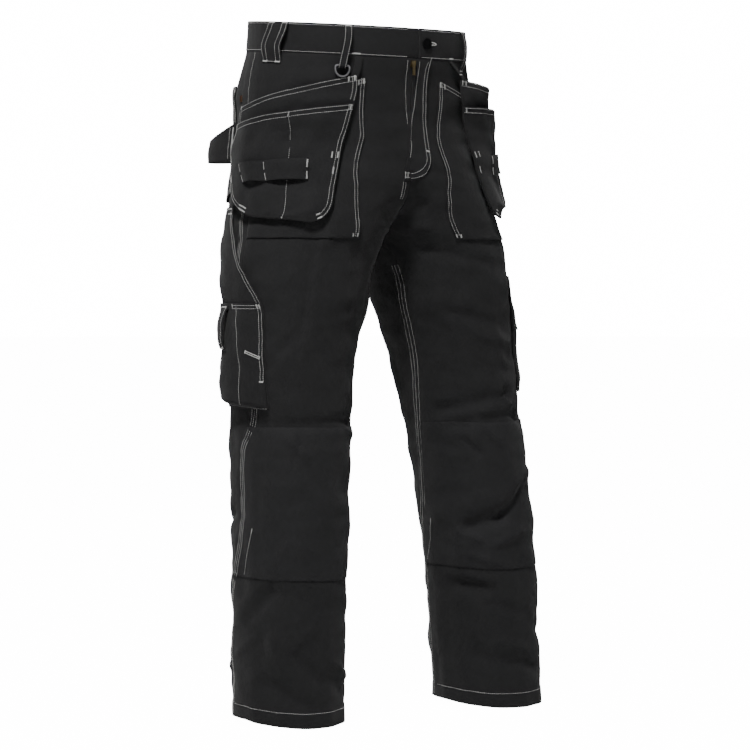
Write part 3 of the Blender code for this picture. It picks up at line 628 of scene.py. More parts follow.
def make_twill():
    finish = Finish("black_twill", (0.016, 0.016, 0.017), 0.86, sheen=0.12)
    across, along = finish.flat_cloth()
    finish.set("Base Color", drifting_shade(finish, (0.0105, 0.0105, 0.0115), (0.0205, 0.0205, 0.0215)))
    rib = ((across + along) * (math.tau / RIB / math.sqrt(2))).sum("SINE")
    cross = ((across - along) * (math.tau / THREAD_CROSS / math.sqrt(2))).sum("SINE")
    weave = rib * 0.35 + cross * 0.15 + 0.5
    nap = finish.noise(0.0012, 2.0)
    fine = finish.bump(weave * 0.7 + nap * 0.3, 0.00012)
    finish.set("Normal", finish.bump(finish.noise(0.009, 3.0), 0.0006, fine))
    finish.set("Roughness", finish.noise(0.03) * 0.12 + 0.8)
    return finish.material


def make_knee_cloth():
    finish = Finish("black_canvas", (0.017, 0.017, 0.018), 0.82, sheen=0.12)
    across, along = finish.flat_cloth()
    finish.set("Base Color", drifting_shade(finish, (0.012, 0.012, 0.0132), (0.0225, 0.0225, 0.0242)))
    warp = (across * (math.tau / 0.9)).sum("SINE")
    weft = (along * (math.tau / 0.9)).sum("SINE")
    fine = finish.bump(warp * weft * 0.4 + 0.5, 0.00012)
    finish.set("Normal", finish.bump(finish.noise(0.008, 3.0), 0.0005, fine))
    finish.set("Roughness", finish.noise(0.03) * 0.12 + 0.76)
    return finish.material


def make_thread_finish():
    finish = Finish("pale_thread", (0.62, 0.62, 0.6), 0.6, sheen=0.1)
    finish.set("Base Color", finish.between(finish.noise(0.004), (0.62, 0.62, 0.6), (0.86, 0.86, 0.84)))
    finish.set("Normal", finish.bump(finish.noise(0.0006, 1.0), 0.0001))
    return finish.material


def make_metal(name, low, high, roughness):
    finish = Finish(name, high, roughness, metallic=1.0)
    finish.set("Base Color", finish.between(finish.noise(0.004, 4.0), low, high))
    finish.set("Roughness", finish.noise(0.002, 3.0) * 0.25 + roughness)
    finish.set("Normal", finish.bump(finish.noise(0.0009, 2.0), 0.00004))
    return finish.material


TWILL = make_twill()
CANVAS = make_knee_cloth()
PALE_THREAD = make_thread_finish()
BRASS = make_metal("old_brass", (0.22, 0.16, 0.07), (0.52, 0.42, 0.24), 0.3)
DARK_METAL = make_metal("dark_lacquer", (0.02, 0.02, 0.022), (0.04, 0.04, 0.043), 0.4)
WIRE = make_metal("grey_wire", (0.13, 0.13, 0.135), (0.3, 0.3, 0.31), 0.35)
print("finishes:", [material.name for material in (TWILL, CANVAS, PALE_THREAD, BRASS, DARK_METAL)])

# %% [markdown]
# ## Fronts and backs
# Each leg is a front and a back, joined down the outer side and down the inner side by felled
# seams: the allowances are folded into each other and sewn flat with three rows. The seam
# stands up a little and draws the cloth beside it into small puckers. Edges get closer rows of
# cells, so that the step of the seam shows.

# %% Fronts and backs
SEAM_STAND = 0.7
SEAM_WIDTH = 12.0
HEM_DEPTH = 21.0
HEM_STAND = 0.7
PUCKER = 0.3
PUCKER_LENGTH = 15.0
PANEL_EDGE = (1.5, 6.0, 11.0, 14.5, 19.0)


def middle_angle(height):
    """Where a half of the trunk meets the middle plane, in degrees from its outer side."""
    inner, outer = rings(height)[:2]
    share = np.clip((inner + outer) / (outer - inner), 0, 1)
    return np.degrees(np.arccos(-share ** (1 / ROUNDNESS)))


def front_limits(height):
    side_seam, inseam = sample(SEAMS, height)
    return np.where(height > CROTCH_HEIGHT, -middle_angle(height), inseam), side_seam


def back_limits(height):
    side_seam, inseam = sample(SEAMS, height)
    return side_seam, np.where(height > CROTCH_HEIGHT, middle_angle(height), inseam + 360)


def pucker(distance, along):
    """Small waves across a seam, which die away from it."""
    wave = np.sin(along * math.tau / PUCKER_LENGTH + 2.1 * np.sin(along / 31.0))
    return PUCKER * wave * np.exp(-distance / 12.0)


def panel_lift(limits, stands):
    """Seams stand up on the edges that lie on top, and the hem is folded double."""
    def lift(angle, height):
        low, high = limits(height)
        total = HEM_STAND * smooth((HEM_DEPTH - height) / 2.5)
        for edge, stand in zip((low, high), stands):
            distance = np.abs(np.radians(angle - edge)) * FOLD_RADIUS
            total = total + stand * smooth((SEAM_WIDTH + 2 - distance) / 2.5) + pucker(distance, height)
        return total
    return lift


STANDS = (SEAM_STAND, SEAM_STAND)
fronts = {side: leg_form(side, panel_lift(front_limits, STANDS)) for side in (RIGHT, LEFT)}
backs = {side: leg_form(side, panel_lift(back_limits, STANDS)) for side in (RIGHT, LEFT)}
PANEL_ROWS = np.concatenate((np.array([0, 6, 12, 17, 19, 20.5, 22, 24]),
                             24 + (WAIST_SEAM - SEAM_GAP - 24) * spaced(958)[1:])) / (WAIST_SEAM - SEAM_GAP)


def panel_spread(limits, low_height=0.0, high_height=WAIST_SEAM - SEAM_GAP):
    half_gap = math.degrees(SEAM_GAP / 2 / FOLD_RADIUS)

    def spread(u, v):
        height = mix(low_height, high_height, v)
        low, high = limits(height)
        return mix(low + half_gap, high - half_gap, u), height
    return spread


for side in (RIGHT, LEFT):
    front = lay_cloth("cloth_front_" + WORDS[side], fronts[side], panel_spread(front_limits),
                      spaced(270, CELL, PANEL_EDGE), PANEL_ROWS, TWILL)
    keep(front, ["front_" + WORDS[side]], flat=(0.33, 1.04))
    back = lay_cloth("cloth_back_" + WORDS[side], backs[side], panel_spread(back_limits),
                     spaced(270, CELL, PANEL_EDGE), PANEL_ROWS, TWILL)
    keep(back, ["back_" + WORDS[side]], flat=(0.37, 1.08))

# %% [markdown]
# ## Knee patches
# A second layer covers the whole front of each knee, from seam to seam. It is the same surface a
# little further out, so it can never sink into the front below it. Its upper and lower edges are
# turned in and sewn, and they rise and fall a little from seam to seam.

# %% Knee patches
KNEE_BOTTOM = (207.0, 211.0)
KNEE_TOP = (427.0, 430.0)


def knee_spread(side):
    inside = panel_spread(front_limits, 0, 1)

    def spread(u, v):
        wave = (0.6 * np.sin(5.2 * u + side) + 0.4 * np.sin(11 * u))
        low = mix(*KNEE_BOTTOM, u) + 2.0 * wave - 4.0 * hump(u)
        high = mix(*KNEE_TOP, u) + 1.2 * wave
        height = mix(low, high, v)
        half_gap = math.degrees(SEAM_GAP / 2 / FOLD_RADIUS)
        inner, outer = front_limits(height)
        return mix(inner + half_gap, outer - half_gap, u), height
    return spread


knees = {side: leg_form(side, lambda angle, height: LAYER + panel_lift(front_limits, STANDS)(angle, height))
         for side in (RIGHT, LEFT)}
for side in (RIGHT, LEFT):
    patch = lay_cloth("cloth_knee_" + WORDS[side], knees[side], knee_spread(side),
                      spaced(270, 4.5, PANEL_EDGE), spaced(220, 4.0), CANVAS)
    keep(patch, ["knee_patch_" + WORDS[side]], flat=(0.31, 0.25))

# %% [markdown]
# ## Waistband
# One long band, folded double round a stiffener, runs round the waist, and its right end slips
# under its left end at the button. Its form has a turn round the whole waist for its first
# coordinate, which passes from one half of the trunk to the other.

# %% Waistband
BAND_WALL = 2.4
BAND_FACE = 0.9
BAND_END = -88.0
BAND_SWEEP = 378.0
BAND_UNDER = 262.0


def waist_form(lift=0.0):
    """Turn round the waist in degrees, -90 at the front and 0 on the left, and height."""
    def place(turn, height, out):
        rise = lift(turn, height) if callable(lift) else lift
        turn = np.where(turn > 270, turn - 360, turn)
        side = np.where(turn <= 90, LEFT, RIGHT)
        return skin(side, np.where(turn <= 90, turn, 180 - turn), height, out + rise)
    return Form(place, (0.4, 1.0))


def band_lift(turn, height):
    below = (BAND_WALL + SEAM_GAP) * smooth((turn - BAND_UNDER) / 10)
    share = (height - WAIST_SEAM) / (WAIST_TOP - WAIST_SEAM)
    waves = pucker(height - WAIST_SEAM, turn * 2.8) + pucker(WAIST_TOP - height, turn * 2.8 + 40)
    return BAND_FACE - below + 0.7 * hump(share) ** 0.5 - 0.35 + waves * 0.8


band_form = waist_form(band_lift)
band = lay_cloth(
    "cloth_waistband", band_form,
    lambda u, v: (BAND_END + BAND_SWEEP * u, mix(WAIST_SEAM, WAIST_TOP, v)),
    spaced(1054, 4.5), spaced(45, 4.5), TWILL, wall=BAND_WALL)
keep(band, ["waistband"], flat=(1.06, 0.045))

# %% [markdown]
# ## Fly
# The left front's edge is doubled and covers the zip. Its sewn edge comes down beside it and
# turns in to the middle seam in a J. A form whose first coordinate is the distance from the
# middle plane lets the J be drawn in millimetres.

# %% Fly
FLY_TOP = 980.0
FLY_END = 792.0
FLY_LIFT = 2.1
# Columns: height, opening edge, sewn edge, both from the middle plane.
FLY_EDGES = ((792, -8, 8), (796, -8, 18), (801, -7, 28), (809, -6, 35), (821, -4, 39), (837, -2, 39.5),
             (867, 0, 36), (890, 1, 31.5), (915, 4, 29.5), (963, 5, 28), (984, 5, 32))


def front_spot(across, height):
    """The side and angle of the front's point that lies this far to the wearer's left."""
    inner, outer = rings(height)[:2]
    local = across - sample(POSES, height)[0]
    share = (np.abs(local) - (inner + outer) / 2) / ((outer - inner) / 2)
    turn = np.copysign(np.minimum(np.abs(share), 1) ** (1 / ROUNDNESS), share)
    return np.where(local > 0, LEFT, RIGHT), -np.degrees(np.arccos(turn))


def middle_form(lift=0.0):
    """Distance from the middle plane and height, on the front of the trunk."""
    def place(across, height, out):
        side, angle = front_spot(across, height)
        return skin(side, angle, height, out + lift)
    return Form(place, (0.5, 1.0))


def fly_spread(u, v):
    height = mix(FLY_END, FLY_TOP, v ** 1.15)
    opening, sewn = sample(FLY_EDGES, height)
    return mix(opening, sewn, u), height


fly_form = middle_form(FLY_LIFT)
fly = lay_cloth("cloth_fly", fly_form, fly_spread, spaced(36, 3), spaced(184, 3), TWILL)
keep(fly, ["fly"], flat=(0.042, 0.185))

# %% [markdown]
# ## Front pocket patches
# Below each slanted pocket mouth a patch of the same cloth covers the hip down to the thigh. The
# table is the line along which its inner edge is sewn down. A form in shares across and up the
# patch carries both the grid and the stitches.

# %% Front pocket patches
# Columns: height, angle of the inner edge on the right and on the left.
POCKET_EDGES = ((705, -95, -103), (735, -88.5, -101), (770, -79.5, -91.5), (800, -71.5, -82.5),
                (825, -68.5, -79), (870, -67, -76), (951, -66, -75))
SLASH_FRONT, SLASH_SIDE = 951.0, 872.0
PATCH_BOTTOM = 705.0
PATCH_LIFT = 2.4


def share_form(side, spot, steps=(0.004, 0.004)):
    """A form from a function that turns two shares into angle, height and lift."""
    def place(u, v, out):
        angle, height, lift = spot(u, v)
        return skin(side, angle, height, out + lift)
    return Form(place, steps)


def whole(u, v):
    return u, v


def along(side, *places):
    """A path drawn for the right side, turned round for the left, so that its left stays inward."""
    return places if side == RIGHT else places[::-1]


def patch_spot(side):
    def spot(u, v):
        height = mix(PATCH_BOTTOM, mix(SLASH_FRONT, SLASH_SIDE, u), v)
        right, left = sample(POCKET_EDGES, height)
        inner = left if side == LEFT else right
        lift = PATCH_LIFT + pucker(u * 130, height) + 1.4 * hump(u) * smooth((v - 0.82) / 0.18)
        return mix(inner, sample(SEAMS, height)[0] - 1.0, u), height, lift
    return spot


patches = {side: share_form(side, patch_spot(side)) for side in (RIGHT, LEFT)}
for side in (RIGHT, LEFT):
    patch = lay_cloth("cloth_front_pocket_" + WORDS[side], patches[side], whole,
                      spaced(140, 4.5), spaced(220, 4.5), TWILL)
    keep(patch, ["front_pocket_" + WORDS[side]], flat=(0.18, 0.25))

# %% [markdown]
# ## Hanging tool pockets
# Each hangs in front of the hip from the waistband: a back ply, a front ply sewn on it as two
# pouches, and a band of loops across them. The table gives the line from the front edge to the
# back edge at ten levels. Their cloth has creases of its own, drawn like those of the legs.

# %% Hanging tool pockets
# Columns: level, front angle and height, back angle and height.
HOLSTER_LEVELS = (
    (0, -55, 725, -10, 734), (1, -62.5, 733, 1, 741), (2, -65, 750, 10, 757), (3, -61.5, 780, 16, 778),
    (4, -58.5, 812, 19, 806), (5, -57, 849, 17, 838), (6, -59, 880, 14, 858), (7, -61, 909, 12, 873),
    (8, -62, 931, 11, 885), (9, -61, 954, 10, 898))
HOLSTER_TOP, HOLSTER_MOUTH = 9, 7
# Columns: level, share across of the row that splits the pouch.
HOLSTER_SPLITS = ((0, 0.445), (2.5, 0.39), (4.2, 0.36), (5.5, 0.39), (6.8, 0.44), (9, 0.44))
HOLSTER_WALL = 1.5
POUCH_DEPTH = 11.0
HOLSTER_HANG = {RIGHT: (8.0, 9.5), LEFT: (12.0, 31.0)}
HOLSTER_DROOP = 0.1
# Columns: share across and level of one end, of the other end, depth and width in millimetres.
HOLSTER_FOLDS = (
    (0.30, 7.0, 0.36, 5.2, -2.6, 9), (0.40, 6.8, 0.30, 4.6, 1.8, 8), (0.18, 6.2, 0.24, 4.8, 1.6, 8),
    (0.62, 6.6, 0.70, 4.8, -1.8, 9), (0.80, 6.2, 0.74, 4.6, 1.5, 8), (0.20, 3.2, 0.34, 1.4, -2.0, 10),
    (0.52, 3.0, 0.60, 1.2, 1.6, 9), (0.74, 3.2, 0.84, 1.6, -1.8, 9), (0.10, 1.8, 0.44, 0.6, 1.4, 9),
    (0.30, 8.8, 0.38, 7.2, -1.8, 9), (0.66, 8.6, 0.58, 7.4, 1.5, 9))
HOLSTER_WIDTH, LEVEL_HEIGHT = 135.0, 22.0
LEFT_RISE, LEFT_LIFT, LEFT_REACH = 10.0, 9.0, (-5.0, 9.0)


def holster_creases(u, level):
    moved = 0.0
    for u_a, level_a, u_b, level_b, depth, width in HOLSTER_FOLDS:
        near = np.array(((u_a - u) * HOLSTER_WIDTH, (level_a - level) * LEVEL_HEIGHT))
        run = np.array(((u_b - u_a) * HOLSTER_WIDTH, (level_b - level_a) * LEVEL_HEIGHT))
        share = np.clip(-(near[0] * run[0] + near[1] * run[1]) / run.dot(run), 0, 1)
        distance = np.hypot(near[0] + share * run[0], near[1] + share * run[1])
        moved = moved + depth * np.exp(-(distance / width) ** 2)
    return moved


def holster_spot(side):
    """The outer face of the back ply, from shares across it and levels."""
    def spot(u, level):
        front_angle, front_height, back_angle, back_height = sample(HOLSTER_LEVELS, level)
        near, far = HOLSTER_HANG[side]
        droop = 1 + HOLSTER_DROOP * (1 - level / HOLSTER_TOP)
        lift = mix(near, far, u * u * (3 - 2 * u)) * droop + holster_creases(u, level)
        height = mix(front_height, back_height, u)
        if side == LEFT:
            height = height + LEFT_RISE * hump(u) + LEFT_LIFT * (1 - level / HOLSTER_TOP)
            lift = lift + hump(u) * mix(*LEFT_REACH, level / HOLSTER_TOP)
        return mix(front_angle, back_angle, u), height, lift
    return spot


def pouch_lift(u, level):
    split = sample(HOLSTER_SPLITS, level)[0]
    part = np.where(u < split, u / split, (u - split) / (1 - split))
    over, between = hump(u) ** 0.6, hump(part)
    return POUCH_DEPTH * (0.6 * over + 0.4 * between) * np.clip(level / HOLSTER_MOUTH, 0, 1) ** 0.8


def pouch_spot(side, extra=0.0):
    def spot(u, level):
        angle, height, lift = holster_spot(side)(u, level)
        return angle, height, lift + SEAM_GAP + HOLSTER_WALL + pouch_lift(u, level) + extra
    return spot


holster_backs = {side: share_form(side, holster_spot(side), (0.004, 0.03)) for side in (RIGHT, LEFT)}
pouches = {side: share_form(side, pouch_spot(side), (0.004, 0.03)) for side in (RIGHT, LEFT)}
for side in (RIGHT, LEFT):
    back_ply = lay_cloth("cloth_holster_back_" + WORDS[side], holster_backs[side],
                         lambda u, v: (u, HOLSTER_TOP * v), spaced(135, 4.5), spaced(200, 4.5),
                         TWILL, wall=HOLSTER_WALL)
    keep(back_ply, ["holster_back_" + WORDS[side]], flat=(0.19, 0.225))
    front_ply = lay_cloth("cloth_holster_front_" + WORDS[side], pouches[side],
                          lambda u, v: (u, HOLSTER_MOUTH * v), spaced(150, 3.6), spaced(150, 3.6),
                          TWILL, wall=HOLSTER_WALL)
    keep(front_ply, ["holster_front_" + WORDS[side]], flat=(0.21, 0.17))

# %% [markdown]
# ## Loops on the tool pockets
# A band crosses each tool pocket. It is sewn down by bar tacks at three places and stands off in
# a loop between them. Two narrow tapes carry the tool pocket's front corner from the waistband.

# %% Loops on the tool pockets
TOOL_BAND_LEVELS = (3.2, 4.2)
TOOL_BAND_TACKS = (0.21, 0.55, 0.79)
TOOL_LOOP_DEPTH = {RIGHT: 7.0, LEFT: 2.5}
# Columns: height, angle, lift.
STRAP_PATHS = {
    RIGHT: ((946, -59.5, 6.0), (957, -60.3, 5.2), (969, -60.5, 3.6), (981, -60.5, 1.6)),
    LEFT: ((946, -54.5, 9.9), (957, -56.5, 8.4), (969, -60.5, 5.0), (981, -65, 1.6))}
STRAP_WIDTH = 9.0


def band_of_loops(side):
    start, middle, end = TOOL_BAND_TACKS

    def spot(u, v):
        across, level = mix(start, end, u), mix(*TOOL_BAND_LEVELS, v)
        part = np.where(across < middle, (across - start) / (middle - start),
                        (across - middle) / (end - middle))
        angle, height, lift = pouch_spot(side)(across, level)
        return angle, height, lift + 0.5 + CLOTH + TOOL_LOOP_DEPTH[side] * hump(part) ** 0.8
    return spot


def strap_spot(side):
    path = STRAP_PATHS[side]

    def spot(u, v):
        height = mix(path[0][0], path[-1][0], v)
        angle, lift = sample(path, height)
        return angle + math.degrees(STRAP_WIDTH / 140) * (u - 0.5), height, lift
    return spot


tool_bands = {side: share_form(side, band_of_loops(side)) for side in (RIGHT, LEFT)}
straps = {side: share_form(side, strap_spot(side), (0.02, 0.01)) for side in (RIGHT, LEFT)}
for side in (RIGHT, LEFT):
    loops = lay_cloth("cloth_tool_band_" + WORDS[side], tool_bands[side], whole,
                      spaced(100, 2.5), spaced(26, 3.5), TWILL)
    keep(loops, ["tool_band_" + WORDS[side]], flat=(0.115, 0.035))
    strap = lay_cloth("cloth_strap_" + WORDS[side], straps[side], whole,
                      spaced(9, 2), spaced(38, 2.5), TWILL)
    keep(strap, ["holster_strap_" + WORDS[side]], flat=(0.01, 0.037))

# %% [markdown]
# ## Belt loops
# A belt loop is a strip that bends away from the waistband and comes back below it. Its form has
# millimetres across the strip first, and then the share along a bent path of heights and lifts.
# The right front loop is longer: it turns up round the bar of the D-ring.

# %% Belt loops
LOOP_PATH = ((1026, 2.2), (1020, 6.4), (1010, 9.2), (999, 9.6), (988, 8.8), (978, 5.6),
             (970, 1.4), (966, 1.2))
LOOP_WALL = 1.4
BAR_HEIGHT, BAR_LIFT, BAR_RADIUS, FOLD_OVER = 966.0, 5.6, 1.6, 2.9
WAIST_RADIUS = 160.0
AROUND_BAR = (
    (1026, 2.2), (1019, 6.8), (1008, 9.2), (993, 9.4), (978, 8.6),
    *((BAR_HEIGHT + FOLD_OVER * math.cos(bend), BAR_LIFT + FOLD_OVER * math.sin(bend))
      for bend in (math.radians(90 + 30 * step) for step in range(7))), (973, 2.2), (979, 1.3))
BELT_LOOPS = {
    "side_right": (188.5, 40.0, LOOP_PATH, 3.6), "side_left": (-8.5, 40.0, LOOP_PATH, -2.0),
    "front_right": (232.5, 11.0, AROUND_BAR, 1.4), "front_left": (-53.0, 11.0, LOOP_PATH, 0.0),
    "back": (90.0, 14.0, LOOP_PATH, 0.0)}


def loop_form(turn, path, slant):
    """Millimetres across a strip, and the share along its bent path."""
    line = smooth_line(path)
    reach = np.concatenate(([0.0], np.cumsum(np.hypot(*np.diff(line, axis=0).T))))
    shares = reach / reach[-1]
    slopes = np.gradient(line, reach, axis=0)
    waist = waist_form()

    def place(across, share, out):
        height, lift = (np.interp(share, shares, line[:, axis]) for axis in (0, 1))
        rise, drop = (np.interp(share, shares, slopes[:, axis]) for axis in (1, 0))
        shift = LOOP_WALL / 2 + out
        middle = turn + slant * (1 - smooth((share - 0.15) / 0.5))
        return waist.place(middle - across / WAIST_RADIUS * 57.3, height + shift * rise, lift - shift * drop)
    return Form(place, (0.2, 0.01))


loop_forms = {}
for name, (turn, width, path, slant) in BELT_LOOPS.items():
    loop_forms[name] = loop_form(turn, path, slant)
    length = 92.0 if path is AROUND_BAR else 66.0
    strip = lay_cloth(
        "cloth_belt_loop_" + name, loop_forms[name],
        lambda u, v, width=width: ((u - 0.5) * width, v),
        spaced(width, 2.8), spaced(length, 1.6 if path is AROUND_BAR else 2.4), TWILL, wall=LOOP_WALL)
    keep(strip, ["belt_loop_" + name], flat=(max(width, 10.5) * MM, (length + 1) * MM))

# %% [markdown]
# ## Pockets on the right thigh
# A long pocket for a folding rule lies over the outer thigh, open at its slanted front edge. A
# box pocket is sewn on its lower half, and behind that a narrow loop stands out for a tool.

# %% Pockets on the right thigh
# Columns: height, front angle, lift of the front edge.
RULER_EDGES = ((456, -34, 1.8), (500, -32, 1.8), (555, -29.5, 1.8), (603, -26.5, 3.0), (632, -18, 6.0),
               (669, -4, 8.0), (702, 6, 8.0), (738, 15, 5.0), (752, 18, 3.0))
RULER_BACK, RULER_SEAT, RULER_SWELL = 58.0, 1.8, 1.0
BOX_TOP, BOX_BOTTOM, BOX_BACK, BOX_DEPTH = 610.0, 457.0, 46.0, 10.0
REAR_LOOP_FRONT, REAR_LOOP_BACK, REAR_LOOP_LOW, REAR_LOOP_DEPTH = 8.0, 22.0, 541.0, 8.0


def ruler_lift(angle, height):
    front, lift = sample(RULER_EDGES, height)
    u = (angle - front) / (RULER_BACK - front)
    v = (height - RULER_EDGES[0][0]) / (RULER_EDGES[-1][0] - RULER_EDGES[0][0])
    return mix(lift, RULER_SEAT, u) + RULER_SWELL * hump(u) * hump(v) + pucker(u * 140, height)


def ruler_spot(u, v):
    height = mix(RULER_EDGES[0][0], RULER_EDGES[-1][0], v)
    angle = mix(sample(RULER_EDGES, height)[0], RULER_BACK, u)
    return angle, height, ruler_lift(angle, height)


def box_lift(u, v, angle, height):
    swell = BOX_DEPTH * hump(u) ** 0.4 * mix(1.15, 0.1, v) * smooth(v / 0.05 + 0.1)
    crease = -1.8 * np.exp(-((u - 0.3 - 0.12 * v) / 0.07) ** 2) * hump(v)
    crease = crease + 1.5 * np.exp(-((u - 0.62 + 0.1 * v) / 0.08) ** 2) * hump(v)
    return ruler_lift(angle, height) + LAYER + 0.7 + swell + crease


def box_spot(u, v):
    height = mix(mix(BOX_BOTTOM - 3, BOX_BOTTOM + 9, u), BOX_TOP, v)
    angle = mix(sample(RULER_EDGES, height)[0] + 0.5, BOX_BACK, u)
    return angle, height, box_lift(u, v, angle, height)


def rear_loop_spot(u, v):
    height = mix(REAR_LOOP_LOW, BOX_TOP - 4, v)
    angle = mix(REAR_LOOP_FRONT, REAR_LOOP_BACK, u)
    front = sample(RULER_EDGES, height)[0]
    seat = box_lift((angle - front) / (BOX_BACK - front),
                    (height - BOX_BOTTOM) / (BOX_TOP - BOX_BOTTOM), angle, height)
    return angle, height, seat + LAYER + 0.9 + REAR_LOOP_DEPTH * hump(v) ** 0.7


ruler, box, rear_loop = (share_form(RIGHT, spot) for spot in (ruler_spot, box_spot, rear_loop_spot))
piece = lay_cloth("cloth_ruler_pocket", ruler, whole, spaced(150, 4), spaced(300, 4.5), TWILL)
keep(piece, ["ruler_pocket"], flat=(0.17, 0.31))
piece = lay_cloth("cloth_box_pocket", box, whole, spaced(125, 4), spaced(155, 4), TWILL)
keep(piece, ["thigh_box_pocket"], flat=(0.16, 0.18))
piece = lay_cloth("cloth_thigh_loop", rear_loop, whole, spaced(24, 3), spaced(75, 3), TWILL)
keep(piece, ["thigh_tool_loop"], flat=(0.03, 0.085))

# %% [markdown]
# ## Cargo pocket on the left thigh
# A bellows pocket with a deep flap, seen from its edge in the photograph. The flap starts above
# the pocket's mouth and hangs over it, so its lift grows as it comes down over the mouth.

# %% Cargo pocket
CARGO_BOTTOM, CARGO_TOP, CARGO_FRONT, CARGO_BACK = 472.0, 632.0, -41.0, 44.0
CARGO_DEPTH, CARGO_SEAT = 8.0, 1.6
FLAP_BOTTOM, FLAP_TOP = 566.0, 650.0


def cargo_swell(u, height):
    share = np.clip((height - CARGO_BOTTOM) / (CARGO_TOP - CARGO_BOTTOM), 0, 1)
    crease = -1.6 * np.exp(-((u - 0.42 - 0.1 * share) / 0.07) ** 2) * hump(share)
    return CARGO_DEPTH * hump(u) ** 0.45 * hump(mix(0.08, 0.98, share)) ** 0.5 + crease


def cargo_spot(u, v):
    height = mix(CARGO_BOTTOM, CARGO_TOP, v)
    return mix(CARGO_FRONT, CARGO_BACK, u), height, CARGO_SEAT + cargo_swell(u, height)


def flap_spot(u, v):
    height = mix(FLAP_BOTTOM, FLAP_TOP, v)
    over = smooth((FLAP_TOP - height) / (FLAP_TOP - CARGO_TOP))
    curl = 1.2 * smooth((0.3 - v) / 0.3) * hump(u)
    return (mix(CARGO_FRONT, CARGO_BACK, u), height,
            CARGO_SEAT + cargo_swell(u, height) + 2.4 * over + curl)


cargo, flap = share_form(LEFT, cargo_spot), share_form(LEFT, flap_spot)
piece = lay_cloth("cloth_cargo_pocket", cargo, whole, spaced(150, 4), spaced(160, 4), TWILL)
keep(piece, ["cargo_pocket"], flat=(0.17, 0.18))
piece = lay_cloth("cloth_cargo_flap", flap, whole, spaced(150, 4), spaced(86, 4), TWILL)
keep(piece, ["cargo_flap"], flat=(0.19, 0.095))

# %% [markdown]
# ## Back pockets and hammer loop
# Plain patch pockets on the seat, a little open at the top, and a wide band on the right hip
# that arches out to hold a hammer's handle.

# %% Back pockets and hammer loop
BACK_POCKET_TOP, BACK_POCKET_BOTTOM = 929.0, 760.0
BACK_POCKET_OUTER, BACK_POCKET_INNER, BACK_POCKET_SWELL = 25.0, 74.0, 7.0
HAMMER_REACH, HAMMER_FRONT, HAMMER_BACK = 34.0, 22.0, 62.0


def back_pocket_spot(u, v):
    high = mix(BACK_POCKET_TOP, BACK_POCKET_TOP - 12, u)
    low = BACK_POCKET_BOTTOM + 14 * np.abs(2 * u - 1) ** 3
    swell = BACK_POCKET_SWELL * hump(u) ** 0.6 * hump(mix(0.1, 0.7, v)) ** 0.6
    crease = -1.5 * np.exp(-((u - 0.35 - 0.2 * v) / 0.08) ** 2) * hump(v)
    return (mix(BACK_POCKET_OUTER, BACK_POCKET_INNER, u), mix(low, high, v),
            1.8 + swell + crease + pucker(u * 120, v * 160))


def hammer_spot(u, v):
    arch = hump(u)
    seat = mix(1.9, 9.7, np.clip(2 * u, 0, 1))
    return (mix(HAMMER_FRONT, HAMMER_BACK, u), mix(mix(822, 817, arch), mix(878, 850, arch), v),
            seat + HAMMER_REACH * arch ** 0.85)


back_pockets = {side: share_form(side, back_pocket_spot) for side in (RIGHT, LEFT)}
hammer = share_form(RIGHT, hammer_spot)
for side in (RIGHT, LEFT):
    piece = lay_cloth("cloth_back_pocket_" + WORDS[side], back_pockets[side], whole,
                      spaced(130, 4.2), spaced(165, 4.2), TWILL)
    keep(piece, ["back_pocket_" + WORDS[side]], flat=(0.15, 0.18))
piece = lay_cloth("cloth_hammer_loop", hammer, whole, spaced(110, 2.6), spaced(48, 4), TWILL)
keep(piece, ["hammer_loop"], flat=(0.13, 0.055))

# %% [markdown]
# ## Rows of stitches
# Felled seams carry three rows, edges and hems of pockets two, the hems one. Each row is named by
# a few places on the piece that it holds, and its neighbours are the same line moved sideways.
# Going up the right leg, positive distances lie towards the back.

# %% Seams and hems
OUTER_ROWS = (1.5, 6.0, 10.5)
INNER_ROWS = (1.5, 8.0, 14.5)
SEAT_ROWS = (1.0, 5.8, 10.5)
# Columns: height, how far the outer seam's rows lie behind the seam, in degrees.
ROW_SHIFT = ((0, 0), (385, 0), (450, -4.5), (540, -2), (620, 8), (980, 8))


def outer_seam(low, high, steps):
    heights = np.linspace(low, high, steps)
    return [(sample(SEAMS, height)[0] + sample(ROW_SHIFT, height)[0], height) for height in heights]


for side in (RIGHT, LEFT):
    inner = [(sample(SEAMS, height)[1] + 360, height) for height in np.linspace(4, 668, 24)]
    for row in OUTER_ROWS:
        sew("outseam", fronts[side], along(side, *outer_seam(4, 204, 8)), distance=-row)
        sew("outseam", knees[side], along(side, *outer_seam(212, 426, 10)), distance=-row)
        sew("outseam", fronts[side], along(side, *outer_seam(431, 752, 14)), distance=-row)
    sew("outseam", fronts[side], [(7.6, 980), (7.6, 940), (7.4, 880)])
    for row in INNER_ROWS:
        sew("inseam", backs[side], along(side, *inner), distance=-row)
    sew("hem", fronts[side], [(angle, 20.0) for angle in np.linspace(-195, 20, 9)])
    sew("hem", backs[side], [(angle, 20.0) for angle in np.linspace(33, 155, 9)])
seat = [(middle_angle(height), height) for height in np.linspace(715, 976, 12)]
for row in SEAT_ROWS:
    sew("seat", backs[LEFT], seat, distance=row)

# %% [markdown]
# ## Stitches of the waistband and the fly
# The band is held by one row along its top and one along its seam. The fly is closed by two
# rows that run down beside the zip and curve to the middle in a hook, as the machine turns at
# its end. Bar tacks are short dense bars of thread where a pull would tear a single row.

